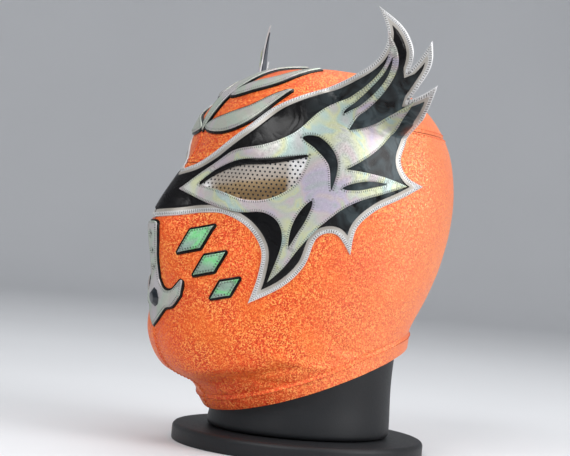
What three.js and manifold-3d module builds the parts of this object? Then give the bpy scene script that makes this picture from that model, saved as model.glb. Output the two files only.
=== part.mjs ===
// Lucha libre mask on its display head: stretch-fabric panels, stacked applique sheets that
// stand up as a fin over each temple, and a back opening with plackets, eyelets and a tongue.
// Millimetres, +Z up. The face looks towards -Y and the wearer's left is +X.
import * as THREE from 'three';
import { mergeVertices } from 'three/addons/utils/BufferGeometryUtils.js';
import Module from 'manifold-3d';

const wasm = await Module();
wasm.setup();

const RADIAN = Math.PI / 180;
const GAP = 0.3;

// Head sections from the crown (0) to the hem (12): reach and height at the front and the back,
// half width and height at the side, and the roundness of the section.
const SECTIONS = [
  [0, 252, 0, 252, 0, 252, 2.0],
  [38, 246.5, 43, 245, 40, 247, 2.0],
  [64, 232.5, 70, 229, 61, 231.5, 2.05],
  [79, 215, 86, 206, 72, 209, 2.15],
  [86.5, 196, 92.5, 178, 76, 184, 2.2],
  [91, 172, 91.5, 150, 76, 158, 2.2],
  [98, 145, 86, 124, 73.5, 132, 2.15],
  [102.5, 118, 77.3, 106, 70, 109, 2.3],
  [106, 92, 70.2, 94, 66.5, 91, 2.4],
  [106.7, 70, 66.5, 87, 64.5, 77, 2.4],
  [96, 50.5, 66, 82.5, 63.5, 67.5, 2.35],
  [74.8, 39, 67.2, 79, 63, 60, 2.2],
  [64, 24.5, 69, 75, 62.8, 50.5, 2.0],
];
const HEM = SECTIONS.length - 1;
const CROWN_HEIGHT = SECTIONS[0][1];

const NOSE = { top: 194, tip: 139, lip: 88, height: 15.5, bridgeWidth: 12, tipWidth: 19, lipWidth: 39 };
const EYE_HOLLOW = { depth: 3, side: 33, width: 15, level: 180, height: 12 };

const FABRIC = 1.2;
const HEM_RISE = 0.9;
const HEM_SPAN = { front: 0.5, side: 1.0, back: 2.6 };
const SEAM = { front: 4.6, back: 2.75, from: 70 * RADIAN, to: 115 * RADIAN };

// The fin sheet stands in a plane that crosses the head's corner, and bows in at its tips.
const FIN = { reach: 103, lean: 1.6, root: 58, from: 196, to: 256, bow: 0.01, top: 292, blend: 7 };

// Depths of the stacked sheets over the fabric, inner and outer face.
const BASE_SHEET = [0.8, 1.5];
const MIDDLE_SHEET = [1.9, 2.7];
const TOP_SHEET = [3.1, 3.9];
const LINING = { depth: [-0.6, 0.3], from: 226, margin: 1.5 };
const BORDER = 4.6;
const EYE_SEAM = 2;
const TRIM = 1.9;

const HEAD_GAP = 1.6;
const TONGUE = { depth: [-2.6, -1.5], from: 152 * RADIAN, top: 0.2, room: 1.6 };
const NECK = { halfWidth: 59, halfDepth: 61, foot: 11.3, round: 3.5 };
const PLATE = { halfWidth: 86, halfDepth: 83, height: 11, edge: 3, sides: 28 };
const OPENING = { halfWidth: 6, top: 176, depths: [30, 120] };
const PLACKET = { from: 6.6, to: 25, top: 186, bottom: 87 };
const EYELET = { count: 6, bore: 2.1, rim: 4.2, height: 0.9, sides: 6, side: 15.5, first: 95, last: 170 };

// Half-grid of the head: columns crowd towards the nose. Rows above the fin's root climb it.
const COLUMN_COUNT = 12;
const COLUMNS = Array.from({ length: COLUMN_COUNT + 1 }, (_, k) => Math.PI * (k / COLUMN_COUNT) ** 1.3);
const FACE_ROWS = [5, 6.1, 7.1, 8, 9];
const FIN_ROOT_ROW = 2.5;
const SIDE_ROWS = [0, 1.2, FIN_ROOT_ROW, 3.2, 3.8, 4.4, ...FACE_ROWS];
const SIDE_COLUMNS = COLUMNS.filter((phi) => phi < 132 * RADIAN);
const FRONT_ROWS = FACE_ROWS.slice(1);
const FRONT_COLUMNS = COLUMNS.filter((phi) => phi < 32 * RADIAN);
const HEAD_ROWS = [1, 2.2, 3.6, ...FACE_ROWS, 10, 11.2];
const HEAD_COLUMNS = COLUMNS.filter((_, k) => k % 2 === 0);
const CROWN_SHARES = [0, 0.22, 0.42, 0.62, 0.81, 1];
const PLACKET_ROWS = 9;
const CREST_COLUMNS = [-0.6, -0.36, -0.12, 0.12, 0.36, 0.6];
const CREST_ROWS = [5, 21, 37, 53, 69, 85, 104];

// Rows of the side panel, counted from its seam: the face rows are level, and the ones above
// and below them spread to the seam and the hem.
const SEAM_GAP = 0.02;
const HEM_STEP = 0.05;
const LAST_FACE = FACE_ROWS.length;
const HEM_ROWS = 3;
const HEM_TOP = LAST_FACE + HEM_ROWS;
const PANEL_ROWS = [0, 0.33, 0.67, ...Array.from({ length: HEM_TOP + 2 }, (_, k) => k + 1)];

// Halvings when a place on the head is searched for, and steps when a way round it is measured.
const HALVINGS = 24;
const WAY_ROUND = { step: 2.5 * RADIAN, steps: 60, ear: 36 };

// Steps in which a surface's slope is measured: columns, then rows or millimetres.
const HEAD_STEP = [0.01, 0.03];
const HEIGHT_STEP = [0.01, -0.5];
const CREST_STEP = [0.006, 0.5];

// Where the cutters' rays start, and how far they reach, in shares of the way to the sheet.
const SIDE_CENTRE = 185;
const FRONT_CENTRE = 110;
const CUTTER_REACH = [0.2, 3];

// How far the points of an outline may stray from its curve.
const OUTLINE_TOLERANCE = 1.4;

// Each outline is a ring of smooth runs that meet at corners. Side outlines are given by the
// distance round the head from the ear line, forwards negative, and the height.
const PANEL_RUNS = [
  [[-172, 176], [-150, 175], [-128, 179], [-112, 187], [-82, 206], [-54, 227], [-31, 242],
    [-16, 254], [-10, 268]],
  [[-14, 287], [1, 274], [8, 260]],
  [[8, 247], [14, 255]],
  [[21, 265], [22, 250], [19, 238]],
  [[17, 230], [25, 234]],
  [[31, 239], [32, 222], [26, 206], [21, 193], [27, 183]],
  [[41, 178], [21, 168], [5, 160], [-7, 148]],
  [[-9, 131], [-20, 143], [-32, 140], [-38, 122], [-50, 108]],
  [[-70, 96], [-66, 114], [-66, 130], [-76, 143], [-92, 150], [-108, 150], [-126, 147]],
  [[-150, 144]],
  [[-161, 143.5]],
  [[-172, 143]],
];
const EYE_RUNS = [
  [[-115, 167], [-103, 177], [-86, 184], [-66, 186]],
  [[-42, 190], [-49, 173], [-62, 163], [-78, 160], [-97, 164]],
];
const FLAME_RUNS = [
  [[-129, 163], [-113, 177], [-92, 190], [-70, 195], [-52, 203], [-37, 216], [-22, 231],
    [-12, 245], [-8, 257]],
  [[-9, 271], [-2, 258], [0, 246], [-3, 232], [-9, 220]],
  [[-17, 208], [-3, 212], [9, 221]],
  [[21, 230], [16, 213], [4, 199], [-8, 190]],
  [[-18, 184], [-4, 183], [10, 181]],
  [[26, 177], [9, 171], [-8, 165], [-20, 158]],
  [[-32, 147], [-42, 134], [-51, 120]],
  [[-60, 110], [-54, 134], [-57, 147], [-67, 153], [-84, 152], [-106, 156]],
];

// Nose guard, right half, by the distance from the middle of the face and the height.
const GUARD_RUNS = [
  [[0, 142], [6.2, 141], [6.4, 131], [5, 118]],
  [[6.6, 106], [12, 100], [20, 100], [28.5, 107]],
  [[27.5, 97], [21, 90], [14, 88]],
  [[10.5, 85], [5.5, 80]],
  [[0, 76]],
];
const STONE = { height: 94, radius: 6.6, table: 0.55, rise: 2.6, sides: 8 };

// Cheek lozenges: a slanting row, each smaller than the one above it.
const LOZENGE = { count: 3, first: [35, 133], step: [11.5, -14.5], long: 15, short: 6.8, shrink: 0.86 };

// Crest on the forehead, in distances sideways and below the crown.
const CREST_RADIUS = { along: 88, across: 85, centre: 165 };
const CREST_LIFT = 0.7;
const CREST_LEAVES = {
  crest_spear: { spine: [[0, -101], [0, -72], [0, -45], [0, -13]], halfWidth: 6.2 },
  crest_leaf_low: { spine: [[3, -99], [23, -94], [37, -80], [44, -52]], halfWidth: 6.2 },
  crest_leaf_high: { spine: [[7.5, -75], [17, -65], [28, -50], [31, -20]], halfWidth: 5.4 },
};
const LEAF_SWELL = 0.8;

const MATERIALS = {
  fabric: new THREE.MeshStandardMaterial({ color: 0xe8552b, roughness: 0.55, metalness: 0.25 }),
  silver: new THREE.MeshStandardMaterial({ color: 0xc9c7cc, roughness: 0.4, metalness: 0.5 }),
  vinyl: new THREE.MeshStandardMaterial({ color: 0x0d0d10, roughness: 0.12, metalness: 0 }),
  holo: new THREE.MeshStandardMaterial({ color: 0xb4b8ba, roughness: 0.3, metalness: 0.7 }),
  green: new THREE.MeshStandardMaterial({ color: 0x9fd0b4, roughness: 0.3, metalness: 0.6 }),
  mesh: new THREE.MeshStandardMaterial({ color: 0xb8a894, roughness: 0.45, metalness: 0.6 }),
  eyelet: new THREE.MeshStandardMaterial({ color: 0xb9bbbe, roughness: 0.3, metalness: 0.9 }),
  head: new THREE.MeshStandardMaterial({ color: 0x1c1c1f, roughness: 0.7, metalness: 0 }),
};

const mask = new THREE.Group();

function add(name, geometry, material) {
  const mesh = new THREE.Mesh(geometry, material);
  mesh.name = name;
  mask.add(mesh);
}

function easeBetween(low, high, value) {
  const t = THREE.MathUtils.clamp((value - low) / (high - low), 0, 1);
  return t * t * (3 - 2 * t);
}

function throughPoints(before, from, to, after, t) {
  return from.map((b, i) => {
    const [a, c, d] = [before[i], to[i], after[i]];
    return 0.5 * (2 * b + (c - a) * t + (2 * a - 5 * b + 4 * c - d) * t * t
      + (3 * b - a - 3 * c + d) * t * t * t);
  });
}

function beyond(end, next) {
  return end.map((value, i) => 2 * value - next[i]);
}

function section(v) {
  const at = THREE.MathUtils.clamp(v, 0, HEM);
  const k = Math.min(Math.floor(at), HEM - 1);
  const before = SECTIONS[k - 1] ?? beyond(SECTIONS[0], SECTIONS[1]);
  const after = SECTIONS[k + 2] ?? beyond(SECTIONS[HEM], SECTIONS[HEM - 1]);
  return throughPoints(before, SECTIONS[k], SECTIONS[k + 1], after, at - k);
}

// The nose ridge and the two eye hollows, as a distance added to the head's radius.
function faceRelief(phi, z, radius) {
  if (Math.cos(phi) <= 0) return 0;
  const x = Math.abs(radius * Math.sin(phi));
  const rise = THREE.MathUtils.clamp((NOSE.top - z) / (NOSE.top - NOSE.tip), 0, 1);
  const fall = THREE.MathUtils.clamp((NOSE.tip - z) / (NOSE.tip - NOSE.lip), 0, 1);
  const above = z > NOSE.tip;
  const height = NOSE.height * (above ? Math.sin(rise * Math.PI / 2) ** 1.4 : (1 - fall) ** 1.2);
  const width = above
    ? THREE.MathUtils.lerp(NOSE.bridgeWidth, NOSE.tipWidth, rise)
    : THREE.MathUtils.lerp(NOSE.tipWidth, NOSE.lipWidth, fall);
  const hollow = ((x - EYE_HOLLOW.side) / EYE_HOLLOW.width) ** 2
    + ((z - EYE_HOLLOW.level) / EYE_HOLLOW.height) ** 2;
  return height * Math.exp(-((x / width) ** 2)) - EYE_HOLLOW.depth * Math.exp(-hollow);
}

// Radius and height of the fabric at an angle from the face and a section number.
function skin(phi, v) {
  const [front, frontZ, back, backZ, side, sideZ, round] = section(v);
  const c = Math.cos(phi);
  const reach = Math.max(c > 0 ? front : back, 0.001);
  const sum = Math.abs(Math.sin(phi) / Math.max(side, 0.001)) ** round + Math.abs(c / reach) ** round;
  const radius = sum ** (-1 / round);
  const z = sideZ + (frontZ - backZ) / 2 * c + ((frontZ + backZ) / 2 - sideZ) * c * c;
  return [radius + faceRelief(phi, z, radius), z];
}

function rowAtHeight(phi, z) {
  let [low, high] = [0, HEM];
  for (let i = 0; i < HALVINGS; i++) {
    const middle = (low + high) / 2;
    if (skin(phi, middle)[1] > z) low = middle;
    else high = middle;
  }
  return low;
}

function skinRadius(phi, z) {
  return z >= CROWN_HEIGHT ? 0 : skin(phi, rowAtHeight(phi, z))[0];
}

function finRadius(phi, z) {
  const upright = FIN.reach / Math.max(Math.sin(phi) + FIN.lean * Math.cos(phi), 0.6);
  const bow = FIN.bow * Math.max(0, z - FIN.to) ** 2;
  return THREE.MathUtils.lerp(FIN.root, upright, easeBetween(FIN.from, FIN.to, z)) - bow;
}

// The sheets follow the fabric and leave it where the fin stands up.
function sheetRadius(phi, z) {
  const [a, b] = [skinRadius(phi, z), finRadius(phi, z)];
  const h = Math.max(FIN.blend - Math.abs(a - b), 0) / FIN.blend;
  return Math.max(a, b) + h * h * FIN.blend / 4;
}

function polar(radius, phi, z) {
  return new THREE.Vector3(radius * Math.sin(phi), -radius * Math.cos(phi), z);
}

function fabricSurface(phi, v) {
  const [radius, z] = skin(phi, v);
  return polar(radius, phi, z);
}

const heightSurface = (phi, z) => polar(sheetRadius(phi, z), phi, z);

// Rows from 12 up to the fin's root are the head's sections; the rows above it climb the fin.
function sheetSurface(phi, row) {
  const rootZ = skin(phi, Math.max(row, FIN_ROOT_ROW))[1];
  const climb = Math.max(0, FIN_ROOT_ROW - row) / FIN_ROOT_ROW;
  const z = THREE.MathUtils.lerp(rootZ, FIN.top, climb);
  return polar(sheetRadius(phi, z), phi, z);
}

// The ray from the head's middle to a point of the crest, by the turn sideways and the
// distance down from the crown.
function crestRay(turn, down) {
  const lift = Math.PI / 2 - down / CREST_RADIUS.along;
  const level = Math.cos(turn);
  return new THREE.Vector3(Math.sin(turn), -level * Math.cos(lift), level * Math.sin(lift));
}

function crestSurface(turn, down) {
  const ray = crestRay(turn, down);
  let [low, high] = [40, 130];
  for (let i = 0; i < HALVINGS; i++) {
    const middle = (low + high) / 2;
    const z = CREST_RADIUS.centre + ray.z * middle;
    const out = Math.hypot(ray.x, ray.y) * middle;
    if (out < skinRadius(Math.atan2(ray.x, -ray.y), z)) low = middle;
    else high = middle;
  }
  return ray.multiplyScalar(low).add(new THREE.Vector3(0, 0, CREST_RADIUS.centre));
}

// A surface's point moved out along its normal. Columns run to the right, rows run down.
function raised(surface, column, row, depth, step) {
  const across = surface(column + step[0], row).sub(surface(column - step[0], row));
  const down = surface(column, row + step[1]).sub(surface(column, row - step[1]));
  const normal = down.cross(across);
  if (normal.length() < 1e-9) normal.set(0, 0, 1);
  return surface(column, row).addScaledVector(normal.normalize(), depth);
}

function keptFromMiddle(point) {
  point.x = Math.max(point.x, GAP / 2);
  return point;
}

// One closed body from a merged list of corners and triangles; flat triangles are dropped.
function closedBody(positions, triangles) {
  const loose = new THREE.BufferGeometry();
  loose.setAttribute('position', new THREE.Float32BufferAttribute(positions, 3));
  loose.setIndex(triangles);
  const body = mergeVertices(loose, 1e-4);
  const corners = body.index.array;
  const kept = [];
  for (let i = 0; i < corners.length; i += 3) {
    const [a, b, c] = corners.slice(i, i + 3);
    if (a !== b && b !== c && c !== a) kept.push(a, b, c);
  }
  body.setIndex(kept);
  return body;
}

// A curved slab between two faces over the same columns and rows. Its facets on the right half
// mirror those on the left.
function slab(columns, rows, outer, inner) {
  const positions = [];
  for (const face of [outer, inner]) {
    for (const row of rows) {
      for (const column of columns) positions.push(...face(column, row).toArray());
    }
  }
  const [wide, tall] = [columns.length, rows.length];
  const out = (j, i) => j * wide + i;
  const inn = (j, i) => (tall + j) * wide + i;
  const triangles = [];
  const quad = (a, b, c, d) => triangles.push(a, b, c, a, c, d);
  for (let j = 0; j + 1 < tall; j++) {
    for (let i = 0; i + 1 < wide; i++) {
      if (onRight(columns[i], columns[i + 1])) {
        quad(out(j + 1, i), out(j + 1, i + 1), out(j, i + 1), out(j, i));
        quad(inn(j, i + 1), inn(j + 1, i + 1), inn(j + 1, i), inn(j, i));
      } else {
        quad(out(j, i), out(j + 1, i), out(j + 1, i + 1), out(j, i + 1));
        quad(inn(j, i), inn(j, i + 1), inn(j + 1, i + 1), inn(j + 1, i));
      }
    }
    quad(out(j + 1, 0), out(j, 0), inn(j, 0), inn(j + 1, 0));
    quad(out(j, wide - 1), out(j + 1, wide - 1), inn(j + 1, wide - 1), inn(j, wide - 1));
  }
  for (let i = 0; i + 1 < wide; i++) {
    quad(out(0, i), out(0, i + 1), inn(0, i + 1), inn(0, i));
    quad(out(tall - 1, i + 1), out(tall - 1, i), inn(tall - 1, i), inn(tall - 1, i + 1));
  }
  return closedBody(positions, triangles);
}

const onRight = (from, to) => Math.sin((from + to) / 2) < 0;

// A solid through closed rings of points, from the top one to the bottom one.
function stacked(rings, top, bottom) {
  const round = rings[0].length;
  const positions = [...rings.flat(), top, bottom].flatMap((point) => point.toArray());
  const [topCorner, bottomCorner] = [rings.length * round, rings.length * round + 1];
  const triangles = [];
  for (let i = 0; i < round; i++) {
    const next = (i + 1) % round;
    triangles.push(topCorner, i, next);
    for (let j = 0; j + 1 < rings.length; j++) {
      const [a, b] = [j * round + i, j * round + next];
      const corners = [a, a + round, b + round, b];
      if (i >= round / 2) corners.unshift(corners.pop());
      triangles.push(...corners.slice(0, 3), corners[0], corners[2], corners[3]);
    }
    const last = (rings.length - 1) * round;
    triangles.push(bottomCorner, last + next, last + i);
  }
  return closedBody(positions, triangles);
}

function mirrored(geometry) {
  const copy = geometry.clone();
  const position = copy.attributes.position;
  for (let i = 0; i < position.count; i++) position.setX(i, -position.getX(i));
  copy.setIndex(Array.from(copy.index.array).reverse());
  return copy;
}

function addPair(name, geometry, material) {
  add(`${name}_left`, geometry, material);
  add(`${name}_right`, mirrored(geometry), material);
}

function toManifold(geometry) {
  return new wasm.Manifold(new wasm.Mesh({
    numProp: 3,
    vertProperties: new Float32Array(geometry.attributes.position.array),
    triVerts: new Uint32Array(geometry.index.array),
  }));
}

function toGeometry(manifold) {
  const mesh = manifold.getMesh();
  const geometry = new THREE.BufferGeometry();
  geometry.setAttribute('position', new THREE.Float32BufferAttribute(mesh.vertProperties, 3));
  geometry.setIndex(Array.from(mesh.triVerts));
  return geometry;
}

// Outlines in two dimensions

function distanceToSegment(point, from, to) {
  const [ex, ey] = [to[0] - from[0], to[1] - from[1]];
  const [px, py] = [point[0] - from[0], point[1] - from[1]];
  const t = THREE.MathUtils.clamp((px * ex + py * ey) / (ex * ex + ey * ey || 1), 0, 1);
  return Math.hypot(px - ex * t, py - ey * t);
}

// Leaves out the points of a run that lie on the straight line between their neighbours.
function thinned(run, tolerance = OUTLINE_TOLERANCE) {
  const last = run.length - 1;
  let [far, index] = [0, 0];
  for (let i = 1; i < last; i++) {
    const distance = distanceToSegment(run[i], run[0], run[last]);
    if (distance > far) [far, index] = [distance, i];
  }
  if (far < tolerance) return [run[0], run[last]];
  return [...thinned(run.slice(0, index + 1), tolerance).slice(0, -1),
    ...thinned(run.slice(index), tolerance)];
}

function smoothRun(points, steps = 6) {
  const run = [];
  for (let k = 0; k + 1 < points.length; k++) {
    const before = points[k - 1] ?? points[k];
    const after = points[k + 2] ?? points[k + 1];
    for (let i = 0; i < steps; i++) {
      run.push(throughPoints(before, points[k], points[k + 1], after, i / steps));
    }
  }
  run.push(points[points.length - 1]);
  return run;
}

function ringOf(runs) {
  return runs.flatMap((run, k) => {
    const corner = runs[(k + 1) % runs.length][0];
    return thinned(smoothRun([...run, corner])).slice(0, -1);
  });
}

function signedArea(ring) {
  return ring.reduce((sum, [x, y], i) => {
    const [nextX, nextY] = ring[(i + 1) % ring.length];
    return sum + (x * nextY - nextX * y) / 2;
  }, 0);
}

function contains(ring, [x, y]) {
  let inside = false;
  ring.forEach(([ax, ay], i) => {
    const [bx, by] = ring[(i + 1) % ring.length];
    if ((ay > y) !== (by > y) && x < (bx - ax) * (y - ay) / (by - ay) + ax) inside = !inside;
  });
  return inside;
}

// The outline moved inwards by a distance, or outwards by a negative one.
function inset(ring, distance) {
  const turn = Math.sign(signedArea(ring));
  const moved = ring.map((point, i) => {
    const before = ring[(i + ring.length - 1) % ring.length];
    const after = ring[(i + 1) % ring.length];
    const first = new THREE.Vector2(point[0] - before[0], point[1] - before[1]).normalize();
    const second = new THREE.Vector2(after[0] - point[0], after[1] - point[1]).normalize();
    const normal = new THREE.Vector2(-first.y * turn, first.x * turn);
    const middle = new THREE.Vector2(-second.y * turn, second.x * turn).add(normal).normalize();
    const reach = distance / Math.max(middle.dot(normal), 0.3);
    return [point[0] + middle.x * reach, point[1] + middle.y * reach];
  });
  return moved.filter((point) => {
    const apart = ring.map((from, i) => {
      return distanceToSegment(point, from, ring[(i + 1) % ring.length]);
    });
    return Math.min(...apart) > Math.abs(distance) * 0.97 && contains(ring, point) === distance > 0;
  });
}

// The part of an outline above a level.
function ringAbove(ring, level) {
  return ring.flatMap((point, i) => {
    const next = ring[(i + 1) % ring.length];
    const kept = point[1] >= level ? [point] : [];
    if ((point[1] >= level) === (next[1] >= level)) return kept;
    const t = (level - point[1]) / (next[1] - point[1]);
    return [...kept, [THREE.MathUtils.lerp(point[0], next[0], t), level]];
  });
}

// The angle at a distance round the head, at one height, from the ear line or the middle.
function angleAt(distance, z, fromEar) {
  const { step, steps, ear } = WAY_ROUND;
  const points = Array.from({ length: steps + 1 }, (_, k) => heightSurface(k * step, z));
  const lengths = [0];
  for (let k = 1; k <= steps; k++) {
    lengths.push(lengths[k - 1] + points[k].distanceTo(points[k - 1]));
  }
  const target = distance + (fromEar ? lengths[ear] : 0);
  const k = Math.max(lengths.findIndex((length) => length > Math.abs(target)), 1);
  const t = (Math.abs(target) - lengths[k - 1]) / (lengths[k] - lengths[k - 1]);
  return Math.sign(target) * (k - 1 + t) * step;
}

const fromEar = ([distance, z]) => [angleAt(distance, z, true), z];
const fromMiddle = ([distance, z]) => [angleAt(distance, z, false), z];

// Cutters: an outline at one depth over the head, drawn out along the rays from a point inside
// it, so that the walls are flat

function cutter(outline, holes, centre, place) {
  const wound = (ring, clockwise) => {
    return (signedArea(ring) < 0) === clockwise ? ring : [...ring].reverse();
  };
  const rings = [wound(outline, false), ...holes.map((hole) => wound(hole, true))];
  const [contour, ...inner] = rings.map((ring) => ring.map(([x, y]) => new THREE.Vector2(x, y)));
  const caps = THREE.ShapeUtils.triangulateShape(contour, inner);
  const middle = new THREE.Vector3(0, 0, centre);
  const points = rings.flat().map((point) => place(point).sub(middle));
  const positions = CUTTER_REACH.flatMap((share) => {
    return points.flatMap((point) => point.clone().multiplyScalar(share).add(middle).toArray());
  });
  const count = points.length;
  const triangles = caps.flatMap(([a, b, c]) => [count + a, count + b, count + c, c, b, a]);
  let start = 0;
  for (const ring of rings) {
    ring.forEach((_, i) => {
      const [a, b] = [start + i, start + (i + 1) % ring.length];
      const [farA, farB] = [a + count, b + count];
      triangles.push(farB, farA, a, farB, a, b);
    });
    start += ring.length;
  }
  return toManifold(closedBody(positions, triangles));
}

// The depth is the middle of the sheet that is cut.
function headCutter(outline, [inside, outside], centre = SIDE_CENTRE, holes = []) {
  const depth = (inside + outside) / 2;
  const place = ([phi, z]) => raised(heightSurface, phi, z, depth, HEIGHT_STEP);
  return cutter(outline, holes, centre, place);
}

function crestCutter(outline) {
  const place = ([side, height]) => crestSurface(side / CREST_RADIUS.across, -height);
  return cutter(outline, [], CREST_RADIUS.centre, place);
}

// Display head: the head under the fabric, and the neck down to the plate

function headDepth(phi) {
  return FABRIC + HEAD_GAP + TONGUE.room * easeBetween(TONGUE.from - 0.2, TONGUE.from, phi);
}

function neckPoint(phi, z, inwards) {
  const [x, y] = [Math.sin(phi) / NECK.halfWidth, Math.cos(phi) / NECK.halfDepth];
  return polar(1 / Math.hypot(x, y) - inwards, phi, z);
}

function makeHeadForm() {
  const angles = [...HEAD_COLUMNS, ...HEAD_COLUMNS.slice(1, -1).reverse().map((phi) => -phi)];
  const onHead = (v) => angles.map((phi) => {
    return raised(fabricSurface, phi, v, -headDepth(Math.abs(phi)), HEAD_STEP);
  });
  const onNeck = (share, inwards) => angles.map((phi) => {
    const z = THREE.MathUtils.lerp(skin(phi, HEM)[1] + 3, NECK.foot + NECK.round, share);
    return neckPoint(phi, z, inwards);
  });
  const foot = angles.map((phi) => neckPoint(phi, NECK.foot, NECK.round));
  const rings = HEAD_ROWS.map(onHead);
  rings.push(onNeck(0, 0), onNeck(1, 0), foot);
  const top = new THREE.Vector3(0, 0, CROWN_HEIGHT - headDepth(0));
  add('head_form', stacked(rings, top, new THREE.Vector3(0, 0, NECK.foot)), MATERIALS.head);
}

function makeBasePlate() {
  const [radius, height, edge] = [PLATE.halfWidth, PLATE.height, PLATE.edge];
  const profile = [
    [0, 0], [radius, 0], [radius, height - edge], [radius - edge, height], [0, height],
  ].map(([x, y]) => new THREE.Vector2(x, y));
  const plate = new THREE.LatheGeometry(profile, PLATE.sides).rotateX(Math.PI / 2);
  plate.scale(1, PLATE.halfDepth / PLATE.halfWidth, 1);
  const body = closedBody(Array.from(plate.attributes.position.array), Array.from(plate.index.array));
  add('base_plate', body, MATERIALS.head);
}

// Fabric panels: a crown half and a side half on each side of the middle seam

function seamRow(phi) {
  return THREE.MathUtils.lerp(SEAM.front, SEAM.back, easeBetween(SEAM.from, SEAM.to, phi));
}

function hemRow(phi) {
  const forward = Math.cos(phi);
  const end = forward > 0 ? HEM_SPAN.front : HEM_SPAN.back;
  return HEM - THREE.MathUtils.lerp(HEM_SPAN.side, end, Math.abs(forward));
}

function fabricPoint(depth) {
  return (phi, row) => keptFromMiddle(raised(fabricSurface, phi, row, depth, HEAD_STEP));
}

function backOpening() {
  const { halfWidth, top, depths: [near, far] } = OPENING;
  const shape = new THREE.Shape();
  shape.moveTo(-halfWidth, 0);
  shape.lineTo(halfWidth, 0);
  shape.lineTo(halfWidth, top - 2 * halfWidth);
  shape.quadraticCurveTo(halfWidth, top - halfWidth / 2, 0, top);
  shape.quadraticCurveTo(-halfWidth, top - halfWidth / 2, -halfWidth, top - 2 * halfWidth);
  const options = { depth: far - near, bevelEnabled: false, curveSegments: 3 };
  const prism = new THREE.ExtrudeGeometry(shape, options).rotateX(Math.PI / 2).translate(0, far, 0);
  prism.deleteAttribute('normal');
  prism.deleteAttribute('uv');
  return toManifold(mergeVertices(prism, 1e-4));
}

function makeCrownPanels() {
  const outer = (phi, share) => fabricPoint(0)(phi, seamRow(phi) * share);
  const inner = (phi, share) => fabricPoint(-FABRIC)(phi, seamRow(phi) * share);
  addPair('crown_panel', slab(COLUMNS, CROWN_SHARES, outer, inner), MATERIALS.fabric);
}

function panelRow(phi, row) {
  if (row < 1) return THREE.MathUtils.lerp(seamRow(phi) + SEAM_GAP, FACE_ROWS[0], row);
  if (row <= LAST_FACE) return FACE_ROWS[row - 1];
  if (row > HEM_TOP) return row === HEM_TOP + 1 ? hemRow(phi) + HEM_STEP : HEM;
  return THREE.MathUtils.lerp(FACE_ROWS[LAST_FACE - 1], hemRow(phi), (row - LAST_FACE) / HEM_ROWS);
}

function makeSidePanels(eyeHole) {
  const rise = (row) => (row > HEM_TOP ? HEM_RISE : 0);
  const outer = (phi, row) => fabricPoint(rise(row))(phi, panelRow(phi, row));
  const inner = (phi, row) => fabricPoint(-FABRIC)(phi, panelRow(phi, row));
  const whole = toManifold(slab(COLUMNS, PANEL_ROWS, outer, inner));
  const cut = whole.subtract(eyeHole).subtract(backOpening());
  addPair('side_panel', toGeometry(cut), MATERIALS.fabric);
}

// Sheets sewn over the fabric

function sideShell([inside, outside]) {
  const point = (depth) => (phi, row) => keptFromMiddle(raised(sheetSurface, phi, row, depth, HEAD_STEP));
  return toManifold(slab(SIDE_COLUMNS, SIDE_ROWS, point(outside), point(inside)));
}

function frontShell([inside, outside]) {
  const columns = [...FRONT_COLUMNS.slice(1).reverse().map((phi) => -phi), ...FRONT_COLUMNS];
  const point = (depth) => (phi, row) => raised(sheetSurface, phi, row, depth, HEAD_STEP);
  return toManifold(slab(columns, FRONT_ROWS, point(outside), point(inside)));
}

function crestShell([inside, outside]) {
  const point = (depth) => (turn, down) => raised(crestSurface, turn, down, depth + CREST_LIFT, CREST_STEP);
  return toManifold(slab(CREST_COLUMNS, CREST_ROWS, point(outside), point(inside)));
}

function makeEyePanels(shells, eye, eyeSeam) {
  const panel = ringOf(PANEL_RUNS);
  const seam = eyeSeam.map(fromEar);
  const border = headCutter(panel.map(fromEar), BASE_SHEET, SIDE_CENTRE, [seam]);
  const field = headCutter(inset(panel, BORDER).map(fromEar), MIDDLE_SHEET, SIDE_CENTRE, [seam]);
  const flame = headCutter(ringOf(FLAME_RUNS).map(fromEar), TOP_SHEET, SIDE_CENTRE, [eye.map(fromEar)]);
  const lens = headCutter(inset(eyeSeam, 2 * GAP).map(fromEar), MIDDLE_SHEET);
  addPair('eye_edge', toGeometry(shells.base.intersect(border)), MATERIALS.silver);
  addPair('eye_vinyl', toGeometry(shells.middle.intersect(field)), MATERIALS.vinyl);
  addPair('eye_flame', toGeometry(shells.top.intersect(flame)), MATERIALS.holo);
  addPair('eye_mesh', toGeometry(shells.middle.intersect(lens)), MATERIALS.mesh);
}

function makeFinLinings() {
  const upper = ringAbove(inset(ringOf(PANEL_RUNS), LINING.margin), LINING.from);
  const lining = sideShell(LINING.depth).intersect(headCutter(upper.map(fromEar), LINING.depth));
  addPair('fin_lining', toGeometry(lining), MATERIALS.vinyl);
}

// A leaf pointed at both ends round a curved spine.
function leafOutline({ spine, halfWidth }, margin) {
  const line = smoothRun(spine, 2);
  const last = line.length - 1;
  const edge = (turn) => line.slice(1, last).map((point, i) => {
    const t = (i + 1) / last;
    const [dx, dy] = [line[i + 2][0] - line[i][0], line[i + 2][1] - line[i][1]];
    const width = halfWidth * Math.sin(Math.PI * t ** LEAF_SWELL) / Math.hypot(dx, dy);
    return [point[0] + turn * dy * width, point[1] - turn * dx * width];
  });
  const ring = [line[0], ...edge(1), line[last], ...edge(-1).reverse()];
  return margin ? inset(ring, -margin) : ring;
}

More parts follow.
